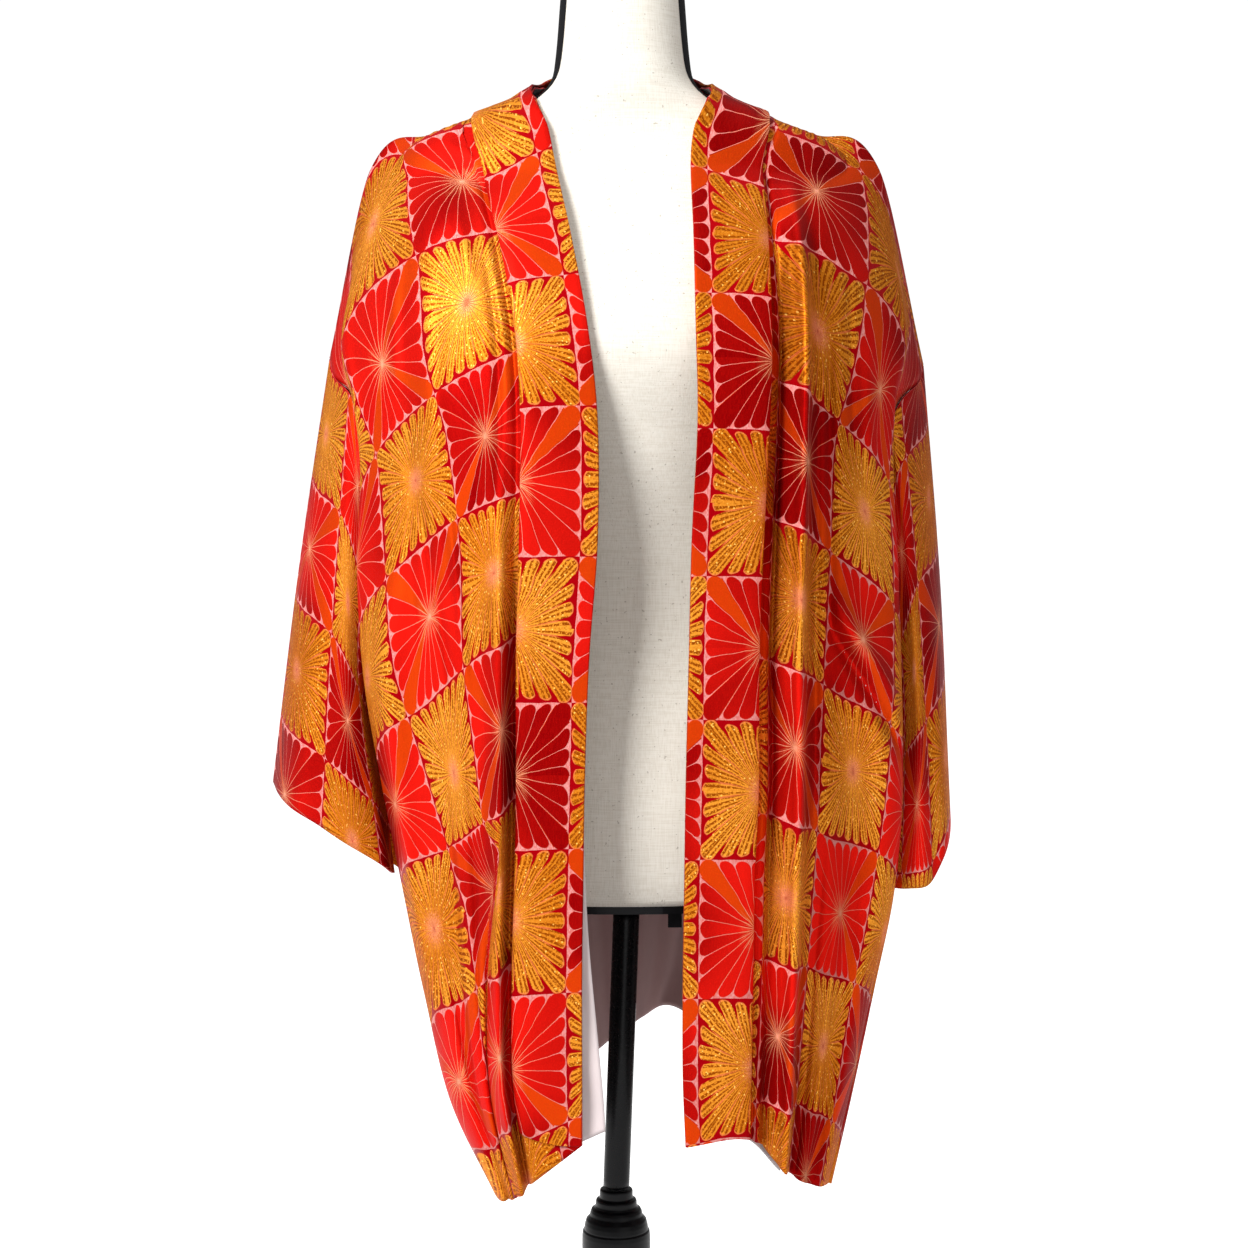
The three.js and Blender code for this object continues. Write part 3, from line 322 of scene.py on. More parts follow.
# ---------------------------------------------------------------- node graphs
class Graph:
    """A material's node tree, with short methods for the nodes that the finishes use."""

    def __init__(self, name: str) -> None:
        """Starts an empty material with its output and its shader.

        Args:
            name: the material's name.
        """
        self.material = bpy.data.materials.new(name)
        self.material.use_nodes = True
        self.tree = self.material.node_tree
        self.shader = self.tree.nodes["Principled BSDF"]

    def put(self, socket: Socket, value: object) -> None:
        """Links a socket, or sets its value.

        Args:
            socket: the input.
            value: an output to link, a colour, or a number.
        """
        if isinstance(value, Socket):
            self.tree.links.new(value, socket)
        elif isinstance(value, tuple) and len(value) == 3 and socket.type == "RGBA":
            socket.default_value = (*value, 1.0)
        else:
            socket.default_value = value

    def math(self, operation: str, a: object, b: object = None, c: object = None) -> Socket:
        """One arithmetic step.

        Args:
            operation: the node's operation.
            a: the first number.
            b: the second, where there is one.
            c: the third, where there is one.

        Returns:
            The result.
        """
        node = self.tree.nodes.new("ShaderNodeMath")
        node.operation = operation
        for socket, value in zip(node.inputs, (a, b, c)):
            if value is not None:
                self.put(socket, value)
        return node.outputs[0]

    def mul(self, a: object, b: object) -> Socket:
        """A product."""
        return self.math("MULTIPLY", a, b)

    def add(self, a: object, b: object) -> Socket:
        """A sum."""
        return self.math("ADD", a, b)

    def sub(self, a: object, b: object) -> Socket:
        """A difference."""
        return self.math("SUBTRACT", a, b)

    def step(self, value: object, low: float, high: float, start: float = 0.0, end: float = 1.0) -> Socket:
        """An even step from start at low to end at high.

        Args:
            value: what is compared.
            low: where the step starts.
            high: where it ends.
            start: the result up to low.
            end: the result from high.

        Returns:
            The result.
        """
        node = self.tree.nodes.new("ShaderNodeMapRange")
        node.interpolation_type = "SMOOTHSTEP"
        for socket, given in zip(node.inputs, (value, low, high, start, end)):
            self.put(socket, given)
        return node.outputs[0]

    def mix(self, share: object, a: object, b: object) -> Socket:
        """A colour between a and b.

        Args:
            share: how much of b.
            a: the colour at 0.
            b: the colour at 1.

        Returns:
            The colour.
        """
        node = self.tree.nodes.new("ShaderNodeMix")
        node.data_type = "RGBA"
        self.put(node.inputs[0], share)
        self.put(node.inputs[6], a)
        self.put(node.inputs[7], b)
        return node.outputs[2]

    def choose(self, share: object, a: object, b: object) -> Socket:
        """A number between a and b.

        Args:
            share: how much of b.
            a: the number at 0.
            b: the number at 1.

        Returns:
            The number.
        """
        node = self.tree.nodes.new("ShaderNodeMix")
        self.put(node.inputs[0], share)
        self.put(node.inputs[2], a)
        self.put(node.inputs[3], b)
        return node.outputs[0]

    def combine(self, x: object, y: object, z: object) -> Socket:
        """A vector from three numbers.

        Args:
            x: the first.
            y: the second.
            z: the third.

        Returns:
            The vector.
        """
        node = self.tree.nodes.new("ShaderNodeCombineXYZ")
        for socket, value in zip(node.inputs, (x, y, z)):
            self.put(socket, value)
        return node.outputs[0]

    def noise(self, vector: object, scale: float, detail: float = 2.0, rough: float = 0.5) -> Socket:
        """Soft noise between 0 and 1.

        Args:
            vector: the place.
            scale: cells in a metre.
            detail: how many finer layers.
            rough: how much each finer layer counts.

        Returns:
            The noise.
        """
        node = self.tree.nodes.new("ShaderNodeTexNoise")
        self.put(node.inputs["Vector"], vector)
        node.inputs["Scale"].default_value = scale
        node.inputs["Detail"].default_value = detail
        node.inputs["Roughness"].default_value = rough
        return node.outputs[0]

    def speckle(self, vector: object) -> Socket:
        """A random value for each whole-number cell of the vector.

        Args:
            vector: the place.

        Returns:
            The value, 0 to 1.
        """
        floor = self.tree.nodes.new("ShaderNodeVectorMath")
        floor.operation = "FLOOR"
        self.put(floor.inputs[0], vector)
        node = self.tree.nodes.new("ShaderNodeTexWhiteNoise")
        node.noise_dimensions = "3D"
        self.put(node.inputs["Vector"], floor.outputs[0])
        return node.outputs[0]

    def scaled(self, vector: object, x: float, y: float, z: float = 1.0) -> Socket:
        """A vector scaled on each axis.

        Args:
            vector: the place.
            x: the first scale.
            y: the second scale.
            z: the third scale.

        Returns:
            The scaled vector.
        """
        node = self.tree.nodes.new("ShaderNodeVectorMath")
        node.operation = "MULTIPLY"
        self.put(node.inputs[0], vector)
        node.inputs[1].default_value = (x, y, z)
        return node.outputs[0]

    def cloth(self) -> Socket:
        """Reads the cloth's own map.

        Returns:
            The place on the flat cloth, in metres.
        """
        node = self.tree.nodes.new("ShaderNodeUVMap")
        node.uv_map = "cloth"
        return node.outputs[0]

    def place(self) -> Socket:
        """The place in the part's frame, in metres."""
        return self.tree.nodes.new("ShaderNodeTexCoord").outputs["Object"]

    def split(self, vector: object) -> tuple[Socket, Socket, Socket]:
        """Takes a vector apart.

        Args:
            vector: the vector.

        Returns:
            Its three numbers.
        """
        node = self.tree.nodes.new("ShaderNodeSeparateXYZ")
        self.put(node.inputs[0], vector)
        return node.outputs[0], node.outputs[1], node.outputs[2]

    def bump(self, height: object, strength: float, distance: float) -> None:
        """Raises the surface by a height.

        Args:
            height: the height, 0 to 1.
            strength: how much the height counts.
            distance: metres for a height of 1.
        """
        node = self.tree.nodes.new("ShaderNodeBump")
        node.inputs["Strength"].default_value = strength
        node.inputs["Distance"].default_value = distance
        self.put(node.inputs["Height"], height)
        self.put(self.shader.inputs["Normal"], node.outputs[0])

    def finish(self, **sockets: object) -> bpy.types.Material:
        """Sets the shader's sockets.

        Args:
            sockets: values by socket name, with _ for a space.

        Returns:
            The material.
        """
        for name, value in sockets.items():
            self.put(self.shader.inputs[name.replace("_", " ")], value)
        return self.material


@dataclass(frozen=True)
class CheckSilk:
    """Silk with a check of square chrysanthemums, turn about red satin and gold metallic thread."""

    cell_weft: float = 0.09
    cell_warp: float = 0.10
    first_border: float = 0.107
    petals: float = 3.35
    reach: float = 1.0
    red_deep: Colour = (0.21, 0.000, 0.001)
    red_bright: Colour = (0.74, 0.010, 0.005)
    orange: Colour = (0.60, 0.048, 0.002)
    pink: Colour = (0.88, 0.22, 0.14)
    ground: Colour = (0.74, 0.17, 0.15)
    ground_pale: Colour = (0.84, 0.34, 0.32)
    hair: Colour = (0.90, 0.38, 0.17)
    gold: Colour = (0.56, 0.145, 0.004)
    gold_bright: Colour = (0.86, 0.35, 0.035)
    gold_line: Colour = (0.28, 0.055, 0.002)
    peach: Colour = (0.80, 0.20, 0.06)
    crimson: Colour = (0.38, 0.001, 0.004)
    glint: Colour = (1.0, 0.58, 0.12)
    heart: Colour = (0.84, 0.29, 0.15)
    leaves_in_a_radian: float = 3.8197
    circle_place: float = 0.86
    circle_size: float = 0.165

    def make(self) -> bpy.types.Material:
        """Draws the check.

        In a cell, x and y run from -1 to 1. The smaller over the larger, times the petals' number,
        counts the petals from the middle of a side; its distance from a whole number is the place
        across a petal. The last petal points into the corner and ends in a circle on the diagonal;
        the others end in half an ellipse just short of the cell's border.

        Returns:
            The material.
        """
        g = Graph("check_silk")
        cloth = g.cloth()
        u, v, _ = g.split(cloth)
        sway = g.mul(g.sub(g.noise(cloth, 60.0), 0.5), 0.0022)
        cu = g.math("DIVIDE", g.add(g.sub(u, self.first_border), sway), self.cell_weft)
        cv = g.math("DIVIDE", g.sub(v, sway), self.cell_warp)
        column, row = g.math("FLOOR", cu), g.math("FLOOR", cv)
        is_gold = g.math("FLOORED_MODULO", g.add(column, row), 2.0)
        x = g.math("MULTIPLY_ADD", g.sub(cu, column), 2.0, -1.0)
        y = g.math("MULTIPLY_ADD", g.sub(cv, row), 2.0, -1.0)
        ax, ay = g.math("ABSOLUTE", x), g.math("ABSOLUTE", y)
        along = g.math("MAXIMUM", g.math("MAXIMUM", ax, ay), 0.001)
        slant = g.math("DIVIDE", g.math("MINIMUM", ax, ay), along)
        count = g.mul(slant, self.petals)
        corner = g.math("GREATER_THAN", count, 2.5)
        half = 0.5 / self.petals
        side_across = g.math("ABSOLUTE", g.sub(count, g.math("ROUND", count)))
        corner_across = g.mul(g.sub(1.0, slant), 0.5 / (1 - 2.5 / self.petals))
        across = g.choose(corner, side_across, corner_across)
        edge = g.mul(g.sub(0.5, across),
                      g.mul(along, g.choose(corner, 2 * half, 0.36)))
        twice = g.mul(across, 2.0)
        dome = g.math("SQRT", g.math("MAXIMUM", g.sub(1.0, g.mul(twice, twice)), 0.0))
        side_tip = g.sub(g.math("MULTIPLY_ADD", dome, half, self.reach - half), along)
        from_axis = g.mul(g.sub(ax, ay), 0.7071)
        out = g.mul(g.add(ax, ay), 0.7071)
        ball = self.circle_place * 1.4142
        past = g.math("MAXIMUM", g.sub(out, ball), 0.0)
        corner_tip = g.sub(self.circle_size, g.math("SQRT", g.add(g.mul(past, past),
                            g.mul(from_axis, g.mul(from_axis, g.math("SIGN", past))))))
        tip = g.choose(corner, side_tip, corner_tip)
        angle = g.math("ARCTAN2", y, x)
        which = g.math("ROUND", g.mul(angle, self.leaves_in_a_radian))
        leaf = g.speckle(g.combine(g.add(which, 0.1), column, row))
        tip = g.sub(tip, g.mul(leaf, g.choose(is_gold, 0.015, 0.05)))
        parting = g.mul(g.step(along, 0.66, 0.95), g.choose(is_gold, 0.006, 0.034))
        in_tip = g.mul(g.step(tip, 0.0, 0.016), g.step(g.sub(edge, parting), -0.002, 0.004))
        inside = g.mul(in_tip, g.step(edge, 0.0015, 0.0065))
        # painted sheen: broad soft patches from a noise in the part's frame, lightening the red and the gold
        # where a satin highlight would fall
        satin = g.step(g.noise(g.scaled(g.place(), 1.0, 1.0, 0.7), 7.0, 1.5), 0.43, 0.60)
        # each petal's tone differs at random; the painted sheen lifts the red towards red_bright
        tone = g.add(g.mul(leaf, 0.22), g.mul(satin, 0.75))
        red = g.mix(tone, self.red_deep, self.red_bright)
        red = g.mix(g.mul(g.mul(corner, 0.9), g.step(leaf, 0.42, 0.45)), red, self.orange)
        threads = g.speckle(g.scaled(cloth, 1500.0, 300.0))
        red = g.mix(g.mul(threads, 0.12), red, self.red_bright)
        rays = g.noise(g.combine(g.mul(angle, 16.0), g.mul(along, 1.5), column), 1.7, 3.0, 0.75)
        hair = g.mul(g.step(rays, 0.53, 0.60), g.step(along, 0.05, 0.34, 0.9, 0.0))
        red = g.mix(hair, red, self.hair)
        red_ground = g.mix(g.speckle(g.scaled(cloth, 1100.0, 700.0)), self.ground, self.ground_pale)
        line = g.mix(g.step(along, 0.12, 0.55), self.hair, self.pink)
        red_cell = g.mix(inside, g.mix(in_tip, red_ground, line), red)

        row_line = g.step(g.math("SINE", g.mul(count, 6.2832 * 3.0)), 0.35, -0.35)
        dash = g.step(g.noise(g.scaled(cloth, 650.0, 650.0), 1.0, 1.0), 0.36, 0.50)
        sparkle = g.speckle(g.scaled(cloth, 1000.0, 1000.0))
        # painted highlight on the gold: the painted sheen and a random glitter of bright threads lighten it
        # towards gold_bright; glint paints single bright threads
        lit = g.math("MULTIPLY_ADD", satin, 0.55, g.mul(sparkle, 0.4))
        gold = g.mix(lit, self.gold, self.gold_bright)
        gold = g.mix(g.mul(g.mul(row_line, dash), g.step(along, 0.15, 0.45, 0.45, 1.0)), gold,
                     self.gold_line)
        gold = g.mix(g.mul(g.step(sparkle, 0.0, 0.18, 1.0, 0.0), 0.4), gold, self.gold_line)
        gold = g.mix(g.step(sparkle, 0.975, 0.99), gold, self.glint)
        outline = g.mul(in_tip, g.math("MAXIMUM", g.step(edge, 0.006, 0.018, 1.0, 0.0),
                                       g.step(tip, 0.016, 0.036, 1.0, 0.0)))
        gold = g.mix(g.mul(outline, g.step(along, 0.25, 0.7, 0.25, 0.85)), gold, self.peach)
        centre = g.math("SQRT", g.add(g.mul(x, x), g.mul(y, y)))
        heart = g.step(g.math("MULTIPLY_ADD", g.noise(cloth, 900.0), 0.5, centre), 0.26, 0.52, 0.75, 0.0)
        gold = g.mix(heart, gold, self.heart)
        gold_cell = g.mix(in_tip, self.crimson, gold)
        colour = g.mix(is_gold, red_cell, gold_cell)

        gold_thread = g.mul(is_gold, in_tip)
        weave = g.add(g.speckle(g.scaled(cloth, 1600.0, 900.0)), g.mul(inside, 1.2))
        g.bump(weave, 0.45, 0.0004)
        rough = g.choose(gold_thread, 0.44, 0.50)
        shine = g.choose(gold_thread, g.choose(is_gold, g.mul(inside, 0.45), 0.1), 0.50)
        return g.finish(Base_Color=colour, Roughness=rough, Metallic=shine, Specular_Tint=colour,
                        Specular_IOR_Level=0.12)


@dataclass(frozen=True)
class PlainSilk:
    """Thin plain silk for the lining and the folded edges."""

    name: str
    colour: Colour
    shade: Colour

    def make(self) -> bpy.types.Material:
        """Plain weave: the colour and the surface follow a long thin noise, the slubs.

        Returns:
            The material.
        """
        g = Graph(self.name)
        place = g.place()
        slub = g.noise(g.scaled(place, 900.0, 900.0, 120.0), 1.0, 2.0)
        broad = g.noise(place, 14.0)
        colour = g.mix(g.math("MULTIPLY_ADD", slub, 0.5, g.mul(broad, 0.5)), self.shade, self.colour)
        g.bump(slub, 0.2, 0.0003)
        return g.finish(Base_Color=colour, Roughness=0.55)


@dataclass(frozen=True)
class Linen:
    """Natural linen, with its plain weave, thick threads and dark flecks."""

    colour: Colour = (0.90, 0.86, 0.77)
    shade: Colour = (0.80, 0.75, 0.65)

    def make(self) -> bpy.types.Material:
        """Crossed threads from two stretched noises, and flecks where a fine noise is high.

        Returns:
            The material.
        """
        g = Graph("linen_cover")
        place = g.place()
        warp = g.noise(g.scaled(place, 1300.0, 1300.0, 60.0), 1.0, 1.0)
        weft = g.noise(g.scaled(place, 60.0, 60.0, 1300.0), 1.0, 1.0)
        thread = g.add(g.mul(warp, 0.5), g.mul(weft, 0.5))
        colour = g.mix(g.step(thread, 0.35, 0.62), self.shade, self.colour)
        fleck = g.step(g.noise(place, 420.0, 1.0), 0.70, 0.76)
        colour = g.mix(g.mul(fleck, 0.55), colour, (0.33, 0.27, 0.20))
        g.bump(thread, 0.5, 0.0006)
        return g.finish(Base_Color=colour, Roughness=0.95)


@dataclass(frozen=True)
class Black:
    """A black finish of the stand or of the form's back."""

    name: str
    colour: Colour
    roughness: float
    grain: float

    def make(self) -> bpy.types.Material:
        """Fine grain in the colour, the roughness and the surface.

        Returns:
            The material.
        """
        g = Graph(self.name)
        place = g.place()
        grain = g.noise(place, self.grain, 3.0)
        lighter = tuple(min(1.0, 1.8 * c) for c in self.colour)
        wear = g.math("MULTIPLY_ADD", grain, 0.12, self.roughness - 0.06)
        g.bump(grain, 0.15, 0.0003)
        return g.finish(Base_Color=g.mix(grain, self.colour, lighter), Roughness=wear,
                        Specular_IOR_Level=0.12)


class Finish(Enum):
    """The finishes, each with the name of its material."""

    SILK = "check_silk"
    LINING = "silk_lining"
    LINEN = "linen_cover"
    COVER = "black_cover"
    PLASTIC = "black_plastic"
    STEEL = "black_steel"


class Wardrobe:
    """Makes each material once and dresses the pieces."""

    def __init__(self) -> None:
        """Makes the materials."""
        self.materials = {
            Finish.SILK: CheckSilk().make(),
            Finish.LINING: PlainSilk("silk_lining", (0.88, 0.78, 0.77), (0.78, 0.66, 0.66)).make(),
            Finish.LINEN: Linen().make(),
            Finish.COVER: Black("black_cover", (0.004, 0.004, 0.005), 0.85, 900.0).make(),
            Finish.PLASTIC: Black("black_plastic", (0.002, 0.002, 0.0025), 0.34, 500.0).make(),
            Finish.STEEL: Black("black_steel", (0.002, 0.002, 0.0025), 0.28, 250.0).make(),
        }
        # a darker mauve copy of the lining for the inside of the back: partly the lining's own darker colour,
        # partly painted shade where the back's inside lies in shadow
        self.inside = PlainSilk("back_inside_dark_and_shaded", (0.60, 0.37, 0.36), (0.50, 0.30, 0.29)).make()
        self.hem = PlainSilk("red_hem", (0.62, 0.01, 0.012), (0.42, 0.004, 0.008)).make()

    def dress(self, piece: Piece, finish: Finish, *stands_for: str, lined: bool = False) -> Piece:
        """Gives a piece its finish and its body, and hides the solids that it stands for.

        Args:
            piece: the piece.
            finish: its outer finish.
            stands_for: the solids that it replaces.
            lined: whether its inner face is the lining.

        Returns:
            The piece.
        """
        piece.data.materials.append(self.materials[finish])
        if lined:
            # the back panels' inner faces take the darker lining with its painted shade
            within = self.inside if piece.name.startswith("body_back") else self.materials[Finish.LINING]
            piece.data.materials.append(within)
            piece.data.materials.append(self.hem)
            skins = np.empty(len(piece.data.polygons), np.int32)
            piece.data.attributes["skin"].data.foreach_get("value", skins)
            piece.data.polygons.foreach_set("material_index", skins)
        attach(piece, ROOT)
        if stands_for:
            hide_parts(*stands_for)
        log.info("%s: %d faces, for %s", piece.name, len(piece.data.polygons),
                 ", ".join(stands_for) or "itself")
        return piece


# ---------------------------------------------------------------- the dress form
@dataclass(frozen=True)
class FormShape:
    """The form's level sections: height, half width, depth to the front and to the back."""

    exponent: float = 2.2
    bottom: float = 494.0
    top: float = 1186.0
    sections: tuple[tuple[float, float, float, float], ...] = (
        (1186, 43, 43, 43), (1160, 45.5, 46, 46), (1108, 50, 49, 50), (1092, 54, 52, 54),
        (1080, 66, 52, 56), (1066, 92, 50, 60), (1052, 130, 50, 63), (1040, 156, 53, 67),
        (1022, 167, 60, 72), (990, 165, 74, 79), (940, 156, 99, 86), (890, 147, 113, 86),
        (830, 130, 101, 79), (760, 114, 84, 71), (700, 112, 80, 72), (620, 128, 89, 86),
        (560, 135, 94, 95), (510, 134, 93, 96), (494, 131, 90, 93),
    )

    def sizes(self, z: Array) -> Array:
        """Sizes of the sections, on a smooth curve between those of the table.

        Args:
            z: heights.

        Returns:
            Half width, front depth and back depth at each height.
        """
        table = np.array(self.sections, float)[::-1]
        fine = np.linspace(self.bottom, self.top, 400)
        curve = hermite(list(table[:, 0]), fine) @ table[:, 1:]
        return np.stack([np.interp(z, fine, curve[:, k]) for k in range(3)], axis=-1)

    def skin(self, z: Array, angle: Array) -> Array:
        """Points of the skin: a rounded ellipse, with powers of the cosine and sine, at each height.

        Args:
            z: heights.
            angle: angles round the form, one row for each height.

        Returns:
            A grid of points.
        """
        half, front, back = (part[..., None] for part in np.moveaxis(self.sizes(z), -1, 0))
        cos, sin = np.cos(angle), np.sin(angle)
        power = 2 / self.exponent
        depth = np.where(sin > 0, back, front)
        x = half * np.sign(cos) * np.abs(cos) ** power
        y = depth * np.sign(sin) * np.abs(sin) ** power
        return np.stack([x, y, np.broadcast_to(z[:, None], x.shape)], axis=2)

    def size_of(self, points: Array, air: Array) -> Array:
        """How far out a point lies: the sum of the powers of its shares of the sizes, each with some air.

        Args:
            points: places.
            air: the air at each of them.

        Returns:
            The size, which is under 1 inside and 9 past the ends.
        """
        z = points[..., 2] - air
        half, front, back = np.moveaxis(self.sizes(np.clip(z, self.bottom, self.top)), -1, 0)
        depth = np.where(points[..., 1] > 0, back, front) + air
        size = ((np.abs(points[..., 0]) / (half + air)) ** self.exponent
                + (np.abs(points[..., 1]) / depth) ** self.exponent) ** (1 / self.exponent)
        return np.where((z > self.top) | (z < self.bottom - 2 * air), 9.0, size)

    def clear(self, points: Array, air: float = 1.6) -> Array:
        """Moves points that are too close to the form straight off it, along the slope of its size.

        Args:
            points: places.
            air: the least distance, which grows by as much again over the shoulder.

        Returns:
            The moved places.
        """
        points = points.copy()
        airs = air + 1.6 * rise(points[..., 2], 950, 990)
        probe = 0.5
        for _ in range(12):
            size = self.size_of(points, airs)
            near = size < 1
            if not near.any():
                break
            slope = np.stack([self.size_of(points + probe * np.eye(3)[k], airs) - size for k in range(3)],
                             axis=-1) / probe
            push = slope * ((1.003 - size) / np.maximum((slope ** 2).sum(-1), 1e-9))[..., None]
            push = np.clip(push, -12, 12)
            points = np.where(near[..., None], points + push, points)
        return points


FORM = FormShape()


@dataclass
class DressForm:
    """The padded torso: linen in front, black jersey behind, with a cap on the neck and a base plate."""

    wardrobe: Wardrobe
    seam_y: float = -25.0
    rows: int = 150

    def half(self, name: str, front: bool) -> Piece:
        """One half of the torso: the skin between its two seams, closed along them and at both ends.

        Args:
            name: the piece's name.
            front: whether it is the front half.

        Returns:
            The piece.
        """
        z = np.linspace(FORM.top, FORM.bottom, self.rows)
        depth = FORM.sizes(z)[:, 1]
        seam = np.arcsin((abs(self.seam_y) / depth) ** (FORM.exponent / 2))[:, None]
        if front:
            angle = -np.pi + seam + np.linspace(0, 1, 70)[None, :] * (np.pi - 2 * seam)
        else:
            angle = -seam + np.linspace(0, 1, 80)[None, :] * (np.pi + 2 * seam)
        skin = FORM.skin(z, angle)
        middle = skin.mean(axis=1, keepdims=True)
        closing = middle + (skin - middle) * CLOSING
        grid = np.concatenate([closing[:1], skin[:1], skin, closing[-1:]])
        return grid_mesh(name, grid, closed=True)

    def build(self) -> None:
        """Builds the two halves and the plates."""
        w = self.wardrobe
        w.dress(self.half("form_linen", True), Finish.LINEN, "form_front")
        w.dress(self.half("form_jersey", False), Finish.COVER, "form_back")
        cap = lathe("neck_disc", [(0, 1186.3), (40, 1186.3), (42, 1188.5), (41.2, 1193), (38, 1196.2),
                                  (30, 1199.6), (14, 1202), (6, 1202.2), (0, 1202.3)], 96)
        w.dress(cap, Finish.PLASTIC, "neck_cap")


# ---------------------------------------------------------------- the stand
@dataclass
class Stand:
    """The pole under the form, its hub of stepped rings, and three legs."""

    wardrobe: Wardrobe
    pole_radius: float = 10.0
    lean: float = math.radians(2.1)
    top: tuple[float, float] = (3.0, 475.3)
    hub_top: float = 262.3
    foot_reach: float = 235.0

    def foot_x(self) -> float:
        """Where the leaning pole enters the hub."""
        return self.top[0] - (self.top[1] - self.hub_top) * math.tan(self.lean)

    def pole(self) -> Piece:
        """A round tube: its middle moves out with the tangent of the lean, and its ends are softened.

        Returns:
            The piece.
        """
        t = np.concatenate([[0, 0.0], np.linspace(0.004, 0.996, 40), [1.0, 1.0]])
        radius = np.concatenate([[0.2, 9.0], np.full(40, self.pole_radius), [9.0, 0.2]])
        angle = np.linspace(0, 2 * np.pi, 48, endpoint=False)
        high, low = self.top[1] - 0.3, self.hub_top + 0.8
        z = high + (low - high) * t
        x = self.top[0] - (self.top[1] - z) * math.tan(self.lean)
        grid = np.stack([x[:, None] + radius[:, None] * np.cos(angle), radius[:, None] * np.sin(angle),
                         np.repeat(z[:, None], 48, axis=1)], axis=2)
        return grid_mesh("pole_tube", grid, closed=True)

    def build(self) -> None:
        """Builds the stand from the pole down."""
        w = self.wardrobe
        x = self.foot_x()
        w.dress(self.pole(), Finish.STEEL, "pole")
        knob = [(0, 262), (10.6, 262), (12.2, 261.4), (12.6, 260.2), (12.6, 255.4), (13.2, 254.6),
                (15.0, 253.8), (15.6, 252.6), (15.8, 249), (16.6, 247.6), (18.6, 246.6), (19.6, 244.6),
                (20.2, 241.6), (21.4, 240.2), (22.8, 238.6), (23.8, 235.4), (24.4, 231.6), (24.2, 230.8),
                (25.4, 229.8), (25.9, 226.6), (26, 222), (26, 194), (25.4, 191), (24, 190.2), (0, 190)]
        w.dress(lathe("hub_knob", knob, 96, (x, 0)), Finish.PLASTIC, "hub")
        column = [(0, 189.7), (30.2, 189.7), (31.4, 189), (33.4, 182), (34, 178), (34, 106), (33, 103),
                  (29, 96), (0, 96)]
        w.dress(lathe("hub_barrel", column, 96, (x, 0)), Finish.PLASTIC, "hub_column")
        knots = np.array([[36, 168], [84, 158], [140, 110], [190, 44], [self.foot_reach, 17]], float)
        line = hermite([0, 0.22, 0.5, 0.8, 1.0], np.linspace(0, 1, 60)) @ knots
        for k in range(3):
            turn = -math.pi / 2 + k * 2 * math.pi / 3
            path = np.stack([x + line[:, 0] * math.cos(turn), line[:, 0] * math.sin(turn), line[:, 1]],
                            axis=1)
            w.dress(sweep(f"leg_bar_{k + 1}", path, 7.6, 7.6), Finish.STEEL, f"leg_{k + 1}")
            at = (x + self.foot_reach * 0.97 * math.cos(turn), self.foot_reach * 0.97 * math.sin(turn))
            foot = [(0, 9.7), (11, 9.7), (13.4, 9.2), (16.4, 6), (17, 4), (16.6, 1.4), (15, 0), (0, 0)]
            w.dress(lathe(f"foot_pad_{k + 1}", foot, 64, at), Finish.PLASTIC, f"foot_{k + 1}")
        for name, finish in (("bottom_plate", Finish.PLASTIC), ("pole_flange", Finish.PLASTIC),
                             ("cover_tab", Finish.COVER)):
            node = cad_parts[name]
            node.data.materials.clear()
            node.data.materials.append(w.materials[finish])


# ---------------------------------------------------------------- cloth
@dataclass(frozen=True)
class Fold:
    """A soft ridge, or a trough where its lift is below 0, that runs down a panel.

    Its height is the lift times a bell curve across the cloth, faded in after start and out
    before end; its middle runs from top to bottom, both places across the panel.
    """

    start: float
    end: float
    fade: float
    top: float
    bottom: float
    width: float
    lift: float
    lean: float = 0.0
    bow: float = 0.0


@dataclass(frozen=True)
class Pleat:
    """Cloth that is swallowed in a crease, so that the pattern jumps there.

    Across the crease the place on the cloth gains the hidden width at once, instead of evenly
    between the two limits.
    """

    start: float
    end: float
    top: float
    bottom: float
    limits: tuple[float, float]
    hidden: float
    width: float = 0.012


